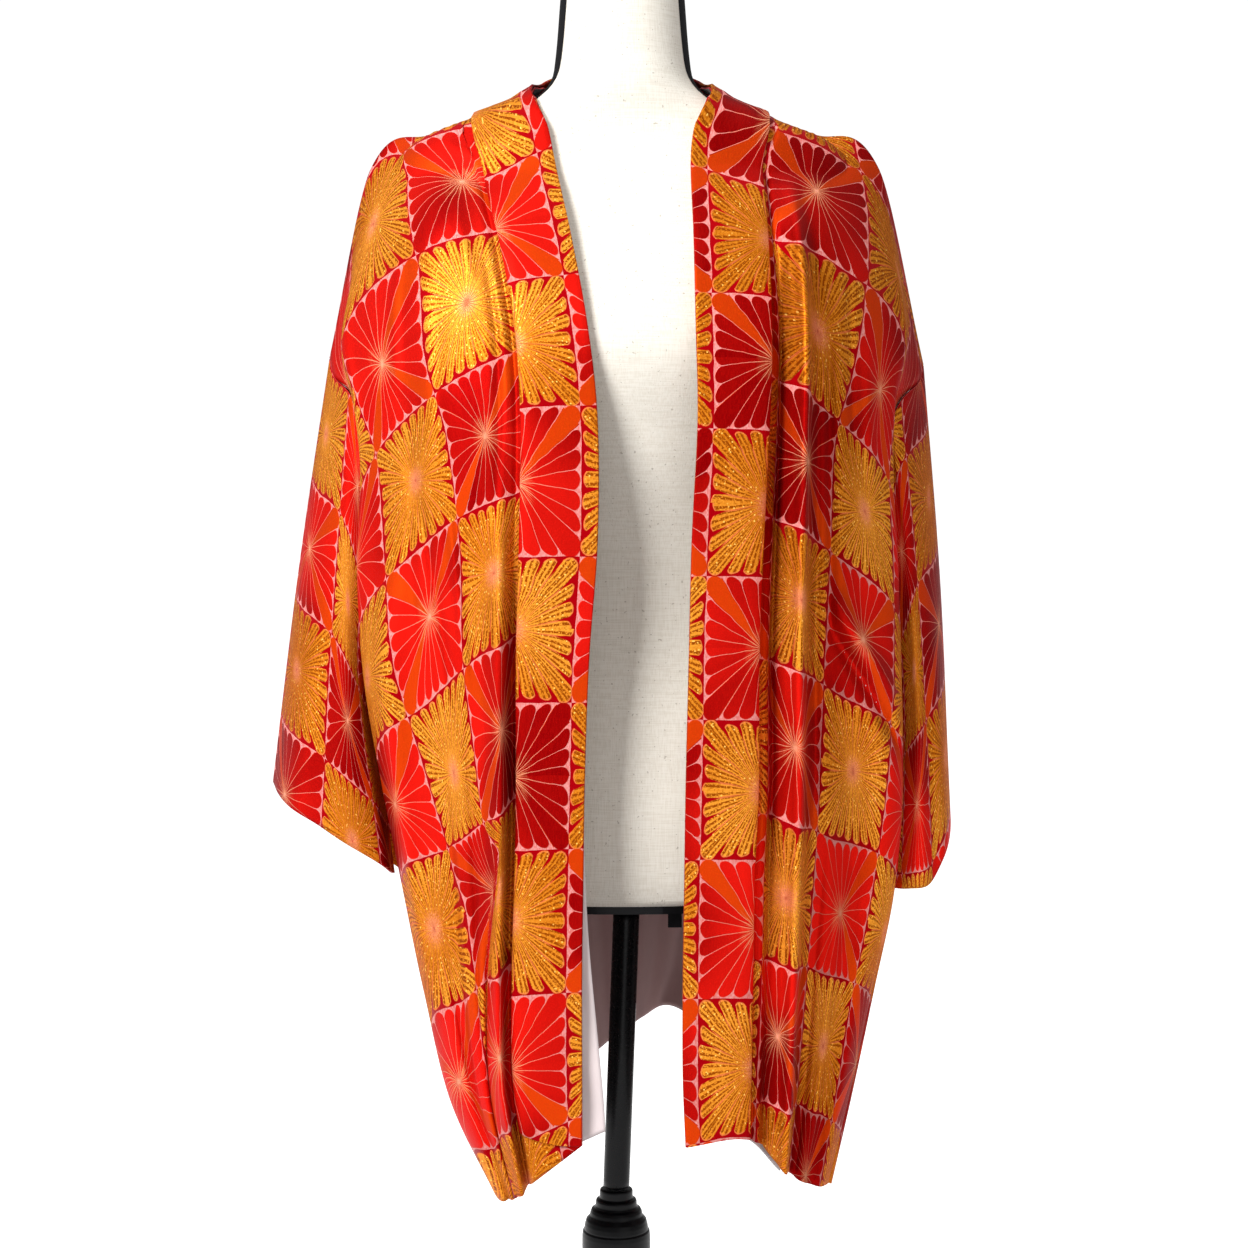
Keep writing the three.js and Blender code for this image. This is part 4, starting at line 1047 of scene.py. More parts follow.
@dataclass
class Panel:
    """A draped panel: rows of stations [out, y, z], and the flat cloth's place at each of them."""

    facing: int
    stations: tuple[float, ...]
    rows: list[list[tuple[float, float, float]]]
    folds: list[Fold]
    weft: list[list[float]] | None = None
    warp: list[list[float]] | None = None
    pleats: tuple[Pleat, ...] = ()

    def surface(self, across: Array, down: Array, plain: bool = False) -> Array:
        """Points of the panel.

        A point is the smooth curve through the rows, read down, of the smooth curve through the
        stations, read across, plus every fold.

        Args:
            across: places across, 0 to 1.
            down: places down, 0 to 1.
            plain: whether the folds are left off.

        Returns:
            A grid, down by across, of points.
        """
        table = np.array(self.rows, float)
        w_down = hermite(list(np.linspace(0, 1, len(table))), down)
        w_across = hermite(list(self.stations), across)
        grid = np.einsum("ir,jc,rck->ijk", w_down, w_across, table)
        if plain:
            return grid
        d, a = down[:, None], across[None, :]
        for fold in self.folds:
            t = (d - fold.start) / (fold.end - fold.start)
            centre = fold.top + (fold.bottom - fold.top) * t + fold.bow * np.sin(np.pi * np.clip(t, 0, 1))
            hump = np.exp(-(((a - centre) / fold.width) ** 2))
            hump = hump * rise(d, fold.start, fold.start + fold.fade)
            hump = hump * rise(-d, -fold.end, -fold.end + fold.fade)
            grid[..., 0] += hump * fold.lean
            grid[..., 1] += hump * fold.lift * self.facing
        return grid

    def flat(self, across: Array, down: Array) -> Array:
        """Place on the flat cloth: the smooth curves through the two tables, with every pleat's jump.

        Args:
            across: places across, 0 to 1.
            down: places down, 0 to 1.

        Returns:
            A grid, down by across, of pairs in metres.
        """
        w_down = hermite(list(np.linspace(0, 1, len(self.rows))), down)
        w_across = hermite(list(self.stations), across)
        parts = [w_down @ np.array(t, float) @ w_across.T for t in (self.weft, self.warp)]
        d, a = down[:, None], across[None, :]
        for pleat in self.pleats:
            line = pleat.top + (pleat.bottom - pleat.top) * (d - pleat.start) / (pleat.end - pleat.start)
            even = np.clip((a - pleat.limits[0]) / (pleat.limits[1] - pleat.limits[0]), 0, 1)
            jump = rise(a, line - pleat.width, line + pleat.width) - even
            parts[0] += pleat.hidden * jump * rise(d, pleat.start, pleat.start + 0.1)
        return np.stack(parts, axis=2) * 0.01


FRONT_STATIONS = (0, 0.24, 0.56, 0.86, 1)
BACK_STATIONS = (0, 0.26, 0.56, 0.84, 1)

# columns: seam to the collar, free edge of the collar, chest, fold at the side, side edge
FRONT_LEFT = Panel(-1, FRONT_STATIONS, [
    [(56, 10, 1092), (103, 7, 1070), (146, 4, 1056), (187, 0, 1030), (218, -1, 891)],
    [(50, -52, 1037), (98, -58, 1014), (146, -52, 1004), (193, -22, 968), (212, -16, 876)],
    [(36, -92, 971), (85, -93, 962), (144, -82, 940), (203, -38, 905), (195, -42, 860)],
    [(24, -116, 906), (74, -113, 902), (136, -98, 882), (192, -60, 858), (185, -50, 830)],
    [(17, -124, 840), (70, -121, 838), (132, -106, 826), (187, -66, 806), (178, -51, 786)],
    [(17, -128, 757), (71, -125, 756), (132, -110, 748), (190, -68, 734), (174, -44, 726)],
    [(23, -130, 674), (73, -127, 673), (132, -112, 666), (186, -70, 656), (151, -14, 652)],
    [(26, -132, 591), (73, -129, 590), (126, -114, 582), (172, -71, 572), (147, -17, 568)],
    [(27, -134, 528), (74, -131, 526), (119, -116, 517), (159, -72, 506), (143, -21, 500)],
    [(28, -136, 455), (76, -133, 450), (112, -117, 440), (143, -74, 428), (130, -26, 422)],
    [(28, -138, 388), (75, -135, 377), (101, -118, 362), (124, -78, 350), (114, -31, 346)],
    [(28, -140, 335), (64, -132, 305), (79, -114, 288), (92, -84, 284), (100, -38, 296)],
], [
    Fold(0.40, 1.06, 0.14, 0.31, 0.36, 0.036, 14, -3),
    Fold(0.42, 0.86, 0.14, 0.70, 0.76, 0.050, 7, 2),
    Fold(0.10, 0.50, 0.16, 0.52, 0.60, 0.060, 4),
    Fold(0.60, 1.20, 0.16, 0.54, 0.64, 0.050, -6),
    Fold(0.34, 1.20, 0.20, 0.275, 0.285, 0.024, -6),
    Fold(0.14, 0.34, 0.08, 0.84, 0.88, 0.030, 3.0),
    Fold(0.05, 0.24, 0.08, 0.40, 0.36, 0.030, 2.0),
    Fold(0.50, 0.95, 0.12, 0.42, 0.47, 0.022, -3.0),
    Fold(0.46, 0.80, 0.12, 0.83, 0.86, 0.024, -3.0),
    Fold(0.55, 0.98, 0.12, 0.50, 0.56, 0.018, 2.2),
    Fold(0.30, 0.56, 0.10, 0.66, 0.62, 0.024, -2.2),
    Fold(0.36, 0.62, 0.07, 0.66, 0.44, 0.018, -3.2), Fold(0.40, 0.60, 0.07, 0.52, 0.40, 0.014, 2.4),
    Fold(0.12, 0.32, 0.08, 0.62, 0.70, 0.020, 2.0), Fold(0.68, 0.96, 0.09, 0.66, 0.60, 0.016, -2.4),
    Fold(0.70, 1.06, 0.10, 0.323, 0.535, 0.018, -6.0), Fold(0.16, 0.46, 0.09, 0.30, 0.33, 0.014, -2.0),
    Fold(-0.20, 1.30, 0.10, 0.258, 0.258, 0.014, -4.5),
], weft=[
    [8.9, 13.6, 18.3, 25.0, 34.0], [8.9, 13.6, 18.5, 26.5, 33.5], [8.0, 12.2, 19.8, 28.0, 33.5],
    [6.8, 11.0, 19.4, 29.0, 34.0], [7.0, 11.5, 21.3, 31.5, 35.0], [7.4, 12.0, 23.2, 32.8, 36.0],
    [7.6, 12.3, 24.2, 34.6, 38.0], [8.0, 12.8, 26.8, 36.0, 39.0], [8.2, 13.0, 29.0, 37.0, 39.0],
    [8.4, 13.2, 30.0, 36.5, 38.5], [8.6, 13.6, 30.5, 34.8, 37.0], [8.8, 15.0, 31.0, 33.5, 36.0],
], warp=[
    [-3.0, -4.2, -3.0, -0.3, 0.4], [3.0, 5.0, 5.5, 4.8, 2.0], [11.5, 11.5, 11.8, 10.0, 5.7],
    [18.8, 18.6, 17.4, 14.0, 8.9], [25.6, 25.0, 23.3, 18.8, 13.4], [34.4, 33.6, 31.1, 25.8, 19.5],
    [42.6, 41.7, 38.5, 34.0, 27.4], [50.0, 48.9, 45.3, 42.8, 35.4], [55.2, 54.6, 52.6, 50.2, 42.4],
    [61.3, 61.0, 59.3, 57.4, 50.2], [67.8, 67.8, 66.4, 65.4, 58.0], [73.0, 75.0, 73.8, 73.0, 65.0],
], pleats=(Pleat(0.66, 1.0, 0.30, 0.50, (0.24, 0.56), 10.5),))
FRONT_RIGHT = Panel(-1, FRONT_STATIONS, [
    [(56, 10, 1092), (100, 7, 1072), (146, 4, 1056), (190, 0, 1031), (224, -1, 886)],
    [(49, -52, 1037), (100, -58, 1018), (150, -50, 1004), (198, -22, 968), (218, -16, 872)],
    [(50, -92, 970), (102, -92, 964), (152, -80, 944), (205, -40, 910), (200, -44, 856)],
    [(51, -116, 903), (103, -112, 900), (150, -92, 884), (196, -57, 864), (190, -48, 828)],
    [(52, -125, 840), (101, -121, 838), (149, -96, 826), (194, -63, 808), (185, -49, 784)],
    [(48, -128, 757), (97, -124, 756), (149, -98, 748), (198, -66, 736), (181, -43, 724)],
    [(46, -130, 674), (94, -126, 673), (148, -98, 666), (201, -68, 656), (158, -14, 650)],
    [(44, -132, 591), (94, -128, 590), (147, -98, 582), (202, -70, 572), (152, -17, 566)],
    [(43, -134, 521), (91, -130, 520), (144, -99, 510), (196, -71, 500), (150, -21, 494)],
    [(42, -136, 451), (90, -132, 450), (138, -101, 440), (182, -72, 430), (148, -26, 420)],
    [(42, -138, 385), (89, -134, 387), (132, -104, 364), (166, -75, 354), (144, -31, 344)],
    [(44, -140, 334), (88, -136, 338), (124, -110, 302), (151, -80, 290), (140, -38, 280)],
], [
    Fold(0.06, 1.24, 0.20, 0.36, 0.434, 0.046, 27, 3),
    Fold(0.10, 1.24, 0.20, 0.46, 0.53, 0.030, -6),
    Fold(0.12, 1.24, 0.20, 0.285, 0.330, 0.030, -8), Fold(0.12, 0.84, 0.20, 0.285, 0.315, 0.026, -7),
    Fold(0.46, 0.64, 0.08, 0.56, 0.78, 0.070, 7),
    Fold(0.54, 0.80, 0.10, 0.62, 0.68, 0.060, -9),
    Fold(0.68, 1.16, 0.12, 0.74, 0.71, 0.050, 6),
    Fold(0.16, 0.60, 0.14, 0.52, 0.56, 0.030, -5),
    Fold(0.60, 1.10, 0.14, 0.54, 0.55, 0.022, -4),
    Fold(0.20, 0.44, 0.10, 0.70, 0.74, 0.030, 3),
    Fold(0.66, 1.05, 0.14, 0.62, 0.61, 0.022, 3),
    Fold(0.50, 0.82, 0.12, 0.88, 0.90, 0.020, -3),
    Fold(0.47, 0.58, 0.04, 0.50, 0.84, 0.028, 8.0), Fold(0.50, 0.62, 0.04, 0.52, 0.86, 0.026, -9.0),
    Fold(0.10, 1.16, 0.12, 0.335, 0.40, 0.013, -4.0), Fold(0.14, 0.40, 0.10, 0.60, 0.66, 0.016, -2.2),
    Fold(0.72, 1.10, 0.10, 0.84, 0.80, 0.018, -2.6),
    Fold(-0.20, 1.30, 0.10, 0.258, 0.258, 0.014, -4.5),
], weft=[
    [7.0, 10.6, 16.6, 22.7, 33.0], [6.0, 10.4, 16.6, 23.0, 32.0], [5.4, 10.3, 17.0, 24.8, 32.5],
    [5.0, 9.6, 17.0, 27.0, 33.0], [4.6, 9.2, 19.4, 29.5, 34.0], [4.6, 9.2, 20.0, 30.0, 35.0],
    [4.6, 9.2, 20.6, 31.5, 36.0], [4.8, 9.4, 21.0, 33.0, 37.0], [5.0, 9.6, 21.3, 34.5, 38.0],
    [5.0, 9.6, 21.5, 35.5, 39.0], [5.0, 9.8, 22.0, 35.0, 38.0], [5.0, 9.8, 22.0, 34.5, 37.0],
], warp=[
    [-3.0, -4.4, -4.0, -3.2, -1.0], [3.0, 4.2, 4.7, 4.1, 1.8], [11.0, 10.6, 10.7, 9.2, 5.3],
    [17.6, 17.2, 15.8, 13.0, 8.5], [24.0, 23.3, 21.8, 18.0, 13.0], [32.2, 31.9, 29.9, 25.6, 19.2],
    [40.4, 40.2, 38.5, 34.4, 27.6], [47.8, 47.8, 46.6, 43.6, 36.0], [54.4, 54.4, 53.4, 51.0, 43.0],
    [61.4, 61.4, 61.0, 58.6, 51.0], [68.0, 67.6, 68.6, 66.2, 59.0], [73.2, 72.6, 75.6, 73.0, 66.0],
], pleats=(Pleat(0.08, 1.0, 0.275, 0.30, (0.24, 0.56), 2.2),))

BACK_FOLDS = [
    Fold(0.30, 1.24, 0.20, 0.20, 0.15, 0.060, 7), Fold(0.36, 1.24, 0.20, 0.46, 0.41, 0.060, 10),
    Fold(0.40, 1.22, 0.18, 0.32, 0.28, 0.050, -6), Fold(0.30, 0.95, 0.18, 0.66, 0.66, 0.060, 7),
    Fold(0.44, 1.10, 0.16, 0.56, 0.54, 0.026, -4), Fold(0.52, 1.20, 0.14, 0.08, 0.06, 0.030, 3),
    Fold(0.20, 0.50, 0.12, 0.36, 0.44, 0.035, 3), Fold(0.60, 1.05, 0.14, 0.78, 0.76, 0.025, -3),
]
# columns: centre-back seam, under the side of the neck, blade, fold, side edge
BACK_LEFT = Panel(1, BACK_STATIONS, [
    [(0, 76, 1076), (57, 14, 1089), (132, 8, 1058), (187, 3, 1030), (218, 1, 891)],
    [(0, 88, 1034), (60, 72, 1032), (132, 58, 1014), (192, 24, 968), (212, 16, 874)],
    [(0, 96, 970), (66, 92, 966), (134, 80, 946), (202, 40, 905), (195, 42, 858)],
    [(0, 100, 900), (68, 98, 895), (132, 90, 878), (193, 62, 852), (185, 50, 828)],
    [(0, 103, 830), (70, 102, 825), (131, 96, 815), (188, 70, 798), (178, 52, 784)],
    [(0, 106, 750), (70, 106, 745), (130, 101, 738), (189, 75, 728), (174, 45, 724)],
    [(0, 108, 670), (70, 109, 665), (128, 105, 658), (184, 78, 650), (151, 14, 650)],
    [(0, 110, 590), (70, 112, 582), (124, 108, 574), (172, 80, 566), (147, 17, 566)],
    [(0, 112, 516), (68, 115, 504), (118, 110, 494), (160, 81, 484), (143, 21, 490)],
    [(0, 114, 448), (64, 117, 430), (110, 110, 416), (147, 80, 408), (130, 26, 412)],
    [(0, 115, 396), (56, 118, 362), (98, 108, 344), (132, 76, 338), (115, 31, 338)],
    [(0, 116, 356), (48, 118, 316), (86, 104, 292), (116, 70, 286), (101, 38, 286)],
], BACK_FOLDS)
BACK_RIGHT = Panel(1, BACK_STATIONS, [
    [(0, 76, 1076), (57, 14, 1089), (132, 8, 1058), (190, 3, 1031), (224, 1, 886)],
    [(0, 88, 1034), (60, 72, 1032), (134, 58, 1014), (198, 24, 968), (218, 16, 870)],
    [(0, 96, 970), (66, 92, 966), (136, 80, 946), (205, 42, 908), (200, 44, 854)],
    [(0, 100, 900), (68, 98, 895), (136, 90, 878), (198, 60, 856), (190, 49, 826)],
    [(0, 103, 830), (70, 102, 825), (136, 96, 815), (195, 68, 800), (185, 51, 782)],
    [(0, 106, 750), (70, 106, 746), (136, 101, 740), (198, 74, 728), (181, 45, 722)],
    [(0, 108, 672), (70, 109, 668), (136, 105, 660), (200, 77, 650), (158, 14, 648)],
    [(0, 110, 594), (70, 112, 590), (136, 108, 580), (200, 79, 568), (152, 17, 564)],
    [(0, 112, 520), (69, 115, 520), (132, 110, 502), (192, 80, 490), (150, 21, 488)],
    [(0, 114, 450), (66, 117, 456), (126, 110, 428), (180, 78, 412), (148, 26, 410)],
    [(0, 115, 398), (58, 118, 408), (118, 108, 362), (168, 72, 336), (145, 31, 332)],
    [(0, 116, 357), (46, 118, 374), (110, 104, 316), (156, 62, 272), (141, 38, 262)],
], BACK_FOLDS)


@dataclass
class Side:
    """One side of the jacket: its sign, its panels and the places on them that its tables name.

    The collar's bottom is how far down the front its outer corner reaches. Its column is the check
    column that it is cut from, and its warp the flat place at each row. A sleeve's table holds the
    place round the tube, the place along the armhole, the middle, the cuff and the flat warp.
    """

    word: str
    sign: int
    front: Panel
    back: Panel
    collar_bottom: float
    collar_weft: float
    collar_warp: list[float]
    sleeve: list[tuple]
    sleeve_weft: float
    lining_across: tuple[float, float]
    lining_down: tuple[float, float]
    lining_swing: float
    lining_behind: tuple[float, float]
    lining_folded: bool
    lining_cut: tuple[float, float]


LEFT = Side("left", -1, FRONT_LEFT, BACK_LEFT, 0.952, 0.197,
            [3.0, 9.9, 16.7, 24.0, 31.0, 38.9, 47.2, 55.3, 61.5, 68.8, 76.0, 83.0],
            [(0, 0, (242, 0, 735), (263, 0, 573), 0), (0.09, 0.09, (233, -30, 725), (249, -38, 563), 5),
             (0.18, 0.18, (208, -56, 705), (216, -62, 545), 10.5),
             (0.27, 0.34, (193, -55, 665), (176, -62, 520), 20),
             (0.35, 0.45, (182, -39, 625), (169, -44, 511), 28),
             (0.43, 0.53, (168, -16, 592), (166, -18, 510), 38),
             (0.5, 0.545, (166, 0, 586), (166, 0, 510), 48)],
            0.197, (0, 0.2), (0.6, 0.985), -15.0, (1.85, 5.0), True, (0.05, 0.33))
RIGHT = Side("right", 1, FRONT_RIGHT, BACK_RIGHT, 1.0, 0.107,
             [2.0, 8.4, 15.3, 23.0, 29.4, 37.5, 45.9, 54.3, 61.5, 68.8, 75.2, 80.2],
             [(0, 0, (238, 0, 720), (246, 0, 559), 0), (0.09, 0.09, (232, -28, 708), (241, -38, 538), 5),
              (0.18, 0.18, (217, -52, 690), (226, -60, 508), 10),
              (0.27, 0.34, (208, -52, 662), (208, -60, 502), 18),
              (0.35, 0.45, (193, -38, 620), (189, -44, 502), 28),
              (0.43, 0.53, (176, -16, 592), (178, -18, 502), 38),
              (0.5, 0.545, (174, 0, 586), (176, 0, 502), 48)],
             0.158, (0.2, 0.5), (0.8, 1.0), 0.0, (8.8, 8.8), False, (0.05, 0.145))


@dataclass
class Haori:
    """The jacket: two body lengths, collar, sleeves, side gussets and lining."""

    wardrobe: Wardrobe
    wall: float = 1.5
    collar_wall: float = 2.4
    centre_gap: float = 0.8
    armhole_end: float = 0.545
    gusset_start: float = 0.56
    neck_rows: tuple[tuple[float, ...], ...] = ((0, 66, 1110, 0, 0.068), (26, 61, 1109, 0.15, 0.07),
                                                (46, 46, 1107, 0.28, 0.065), (57, 28, 1100, 0.38, 0.045))
    collar_roll: float = 8.0
    collar_seat: float = 2.7
    seam_gap: float = 0.9
    sleeve_lap: float = 2.6
    tuck_depth: float = 50.0
    ripple_depth: float = 2.5
    gusset_bow: float = 4.0
    bolt: float = 340.0

    # ---- body
    def shoulder(self, side: Side) -> tuple[Array, Array]:
        """The line that front and back share: the mean of the front's first row and the back's.

        Args:
            side: the side of the jacket.

        Returns:
            Distances out, and the depth and height at each of them.
        """
        across = np.linspace(0, 1, 200)
        front = side.front.surface(across, np.array([0.0]))[0]
        back = side.back.surface(across, np.array([0.0]))[0]
        keep = np.maximum.accumulate(front[:, 0]) <= front[:, 0]
        front = front[keep]
        out = front[:, 0]
        order = np.argsort(back[:, 0])
        matched = np.stack([np.interp(out, back[order, 0], back[order, k]) for k in (1, 2)], axis=1)
        return out, (front[:, 1:] + matched) / 2

    def meet(self, grid: Array, down: Array, side: Side) -> Array:
        """Draws the first row of a panel onto the shoulder line, less and less over the next rows.

        Args:
            grid: the panel's points.
            down: places down, 0 to 1.
            side: the side of the jacket.

        Returns:
            The moved points.
        """
        out, line = self.shoulder(side)
        x = grid[0, :, 0]
        target = np.stack([np.interp(x, out, line[:, k]) for k in (0, 1)], axis=1)
        shift = np.where((x >= out[0] - 1)[:, None], target - grid[0, :, 1:], 0.0)
        fade = rise(-down, -0.06, 0.0)
        grid = grid.copy()
        grid[..., 1:] += fade[:, None, None] * shift[None]
        return grid

    def panel_grid(self, panel: Panel, side: Side, across: Array, down: Array) -> Array:
        """A panel's points, met at the shoulder and clear of the form, on this side of the body.

        Args:
            panel: the panel.
            side: the side of the jacket.
            across: places across, 0 to 1.
            down: places down, 0 to 1.

        Returns:
            A grid, down by across, of points.
        """
        grid = self.meet(panel.surface(across, down), down, side)
        grid = FORM.clear(grid)
        grid[..., 0] *= side.sign
        return grid

    def body(self, side: Side) -> None:
        """The front and the back of one body length: a wall round each panel's surface.

        Args:
            side: the side of the jacket.
        """
        down = np.concatenate([np.linspace(0, 0.1, 26)[:-1], np.linspace(0.1, 1, 150)])
        across = np.linspace(0, 1, 118)
        front = self.panel_grid(side.front, side, across, down)
        flat = side.front.flat(across, down)
        piece = wall_mesh(f"body_front_{side.word}", front, flat, self.wall, flip=side.sign < 0)
        self.wardrobe.dress(piece, Finish.SILK, f"front_{side.word}", lined=True)

        down = np.concatenate([np.linspace(0, 0.1, 22)[:-1], np.linspace(0.1, 1, 110)])
        across = np.linspace(0, 1, 96)
        back = self.panel_grid(side.back, side, across, down)
        back[:, 0, 0] = side.sign * self.centre_gap
        back[..., 2] -= 0.9 * rise(-down, -0.05, 0)[:, None]
        steps = np.linalg.norm(np.diff(back, axis=1), axis=2)
        weft = np.concatenate([np.zeros((len(down), 1)), np.cumsum(steps, axis=1)], axis=1)
        weft = weft / weft[:, -1:] * self.bolt
        falls = np.linalg.norm(np.diff(back, axis=0), axis=2)
        warp = np.concatenate([np.zeros((1, len(across))), np.cumsum(falls, axis=0)], axis=0) + 30
        flat = np.stack([weft, -warp], axis=2) * MM
        piece = wall_mesh(f"body_back_{side.word}", back, flat, self.wall, flip=side.sign > 0)
        self.wardrobe.dress(piece, Finish.SILK, f"back_{side.word}", f"back_lining_{side.word}", lined=True)

    # ---- collar
    def collar(self, side: Side) -> None:
        """The folded band: on the front, the panel's points moved out along their normals.

        Round the neck it rolls, by half a sine, between its inner line and its place on the back. The
        rows where the two meet are smoothed and seated on the panels again.

        Args:
            side: the side of the jacket.
        """
        widths = np.linspace(0, 1, 13)
        down = np.concatenate([np.linspace(0, 0.1, 20)[:-1], np.linspace(0.1, 1, 150)])
        drop = (1 - side.collar_bottom) * widths[None, :] * rise(down, 0.5, 1.0)[:, None]
        table = self.panel_grid(side.front, side, widths * FRONT_STATIONS[1], down)
        wanted = down[:, None] - drop
        on_front = np.stack([np.stack([np.interp(wanted[:, c], down, table[:, c, k]) for k in range(3)],
                                      axis=1) for c in range(len(widths))], axis=1)
        facing = -normals_of(on_front) * side.sign
        lying = on_front + facing * (self.wall / 2 + 0.3 + self.collar_wall / 2)
        lying_out = lying * [side.sign, 1, 1]

        neck = np.array(self.neck_rows, float)
        back_across, back_down = neck[:, 3], neck[:, 4]
        seat = np.stack([side.back.surface(np.array([a]), np.array([d]))[0, 0]
                         for a, d in zip(back_across, back_down)])
        inner = np.concatenate([neck[:, :3], lying_out[:1, 0]])
        outer = np.concatenate([seat, lying_out[:1, -1]])
        t = np.linspace(0, 1, 34)[:-1]
        w = hermite(list(np.linspace(0, 1, len(inner))), t)
        inner, outer = w @ inner, w @ outer
        band = inner[:, None] + (outer - inner)[:, None] * widths[None, :, None]
        band[..., 2] += self.collar_roll * np.sin(np.pi * widths)[None, :] * (1 - rise(t, 0.3, 0.85))[:, None]
        yoke_down, yoke_across = np.linspace(0, 0.16, 56), np.linspace(0, 0.7, 120)
        yokes = [FORM.clear(self.meet(panel.surface(yoke_across, yoke_down), yoke_down, side))
                 for panel in (side.back, side.front)]
        sheet = np.concatenate([yoke.reshape(-1, 3) for yoke in yokes])
        facings = np.concatenate([(-turned * normals_of(yoke)).reshape(-1, 3)
                                  for turned, yoke in zip((-1, 1), yokes)])
        band[..., 0] = np.maximum(band[..., 0], self.centre_gap * 0.4)
        whole = np.concatenate([self.off_sheet(band, sheet, facings), lying_out])
        first, last = len(t) - 12, len(t) + 12
        for _ in range(5):
            for _ in range(3):
                before_it, after_it = whole[first - 1:last - 1], whole[first + 1:last + 1]
                whole[first:last] = (before_it + 2 * whole[first:last] + after_it) / 4
            whole[first:last] = self.off_sheet(whole[first:last], sheet, facings)
        whole[..., 0] = np.maximum(whole[..., 0], self.centre_gap * 0.4)
        grid = whole * [side.sign, 1, 1]

        lengths = np.linalg.norm(np.diff(grid[:, 6], axis=0), axis=1)
        before = -np.cumsum(lengths[:len(t)][::-1])[::-1] * 0.1
        warp = np.interp(down, np.linspace(0, 1, 12), side.collar_warp)
        warp_down = np.concatenate([before + side.collar_warp[0], warp])
        warp_grid = warp_down[:, None] - np.concatenate([np.zeros((len(t), 13)), drop]) * 75
        weft = side.collar_weft + (-0.012 + 0.055 * widths)[None, :]
        flat = np.stack([np.broadcast_to(weft, warp_grid.shape), warp_grid * 0.01], axis=2)
        piece = wall_mesh(f"collar_band_{side.word}", grid, flat, self.collar_wall, flip=side.sign < 0)
        soften(piece, 0.9)
        self.wardrobe.dress(piece, Finish.SILK, f"collar_{side.word}")

    def off_sheet(self, points: Array, sheet: Array, facing: Array) -> Array:
        """Moves points that are too close to a sheet off it, along the normal of its nearest point.

        Args:
            points: places.
            sheet: points of the sheet.
            facing: the sheet's unit normals.

        Returns:
            The moved places.
        """
        points = points.copy()
        flat = points.reshape(-1, 3)
        for _ in range(3):
            gaps = ((flat[:, None] - sheet[None]) ** 2).sum(axis=2)
            nearest = gaps.argmin(axis=1)
            height = ((flat - sheet[nearest]) * facing[nearest]).sum(axis=1)
            short = (height < self.collar_seat) & (gaps.min(axis=1) < (4 * self.collar_seat) ** 2)
            flat[short] += facing[nearest[short]] * (self.collar_seat - height[short])[:, None]
        return flat.reshape(points.shape)

    # ---- gusset
    def gusset(self, side: Side) -> None:
        """The wedge between the side edges of front and back: straight lines, bowed out by half a sine.

        Args:
            side: the side of the jacket.
        """
        down = np.linspace(self.gusset_start, 0.99, 80)
        one = np.array([1.0])
        start = FORM.clear(side.front.surface(one, down))[:, 0]
        end = FORM.clear(side.back.surface(one, down))[:, 0]
        step = end - start
        step /= np.linalg.norm(step, axis=1, keepdims=True)
        start, end = start + 1.4 * step, end - 1.4 * step
        t = np.linspace(0, 1, 16)
        grid = start[:, None] + (end - start)[:, None] * t[None, :, None]
        grid[..., 0] += self.gusset_bow * down[:, None] * np.sin(np.pi * t)[None, :]
        grid[..., 0] *= side.sign
        width = np.linalg.norm(end - start, axis=1)
        flat = np.stack([(width[:, None] * t[None, :]) * MM + 0.3,
                         np.repeat(down[:, None] * 0.8, 16, axis=1)], axis=2)
        piece = wall_mesh(f"gusset_{side.word}", grid, flat, self.wall, flip=side.sign < 0)
        self.wardrobe.dress(piece, Finish.SILK, f"side_gusset_{side.word}", lined=True)

    # ---- sleeve
    def armhole(self, side: Side, along: Array) -> Array:
        """Points where a sleeve starts: on the armhole's edge at its top, lapped outside lower down.

        Args:
            side: the side of the jacket.
            along: places down the front from 0 to 1, and down the back from 0 to -1.

        Returns:
            One point for each place.
        """
        points = []
        for panel, chosen in ((side.front, along > 0), (side.back, along <= 0)):
            down = np.abs(along)
            edge = panel.surface(np.array([0.97, 1.0]), down)
            last = np.array([1.0])
            below = (panel.surface(last, down + 0.01)[:, 0]
                     - panel.surface(last, np.maximum(down - 0.01, 0))[:, 0])
            across = edge[:, 1] - edge[:, 0]
            across /= np.linalg.norm(across, axis=1, keepdims=True)
            outward = np.cross(across, below)
            outward *= panel.facing / np.linalg.norm(outward, axis=1, keepdims=True)
            lapped = rise(down, 0.05, 0.18)[:, None]
            moved = edge[:, 1] + across * self.seam_gap * (1 - lapped) + outward * self.sleeve_lap * lapped
            points.append(np.where(chosen[:, None], moved, 0.0))
        return points[0] + points[1]

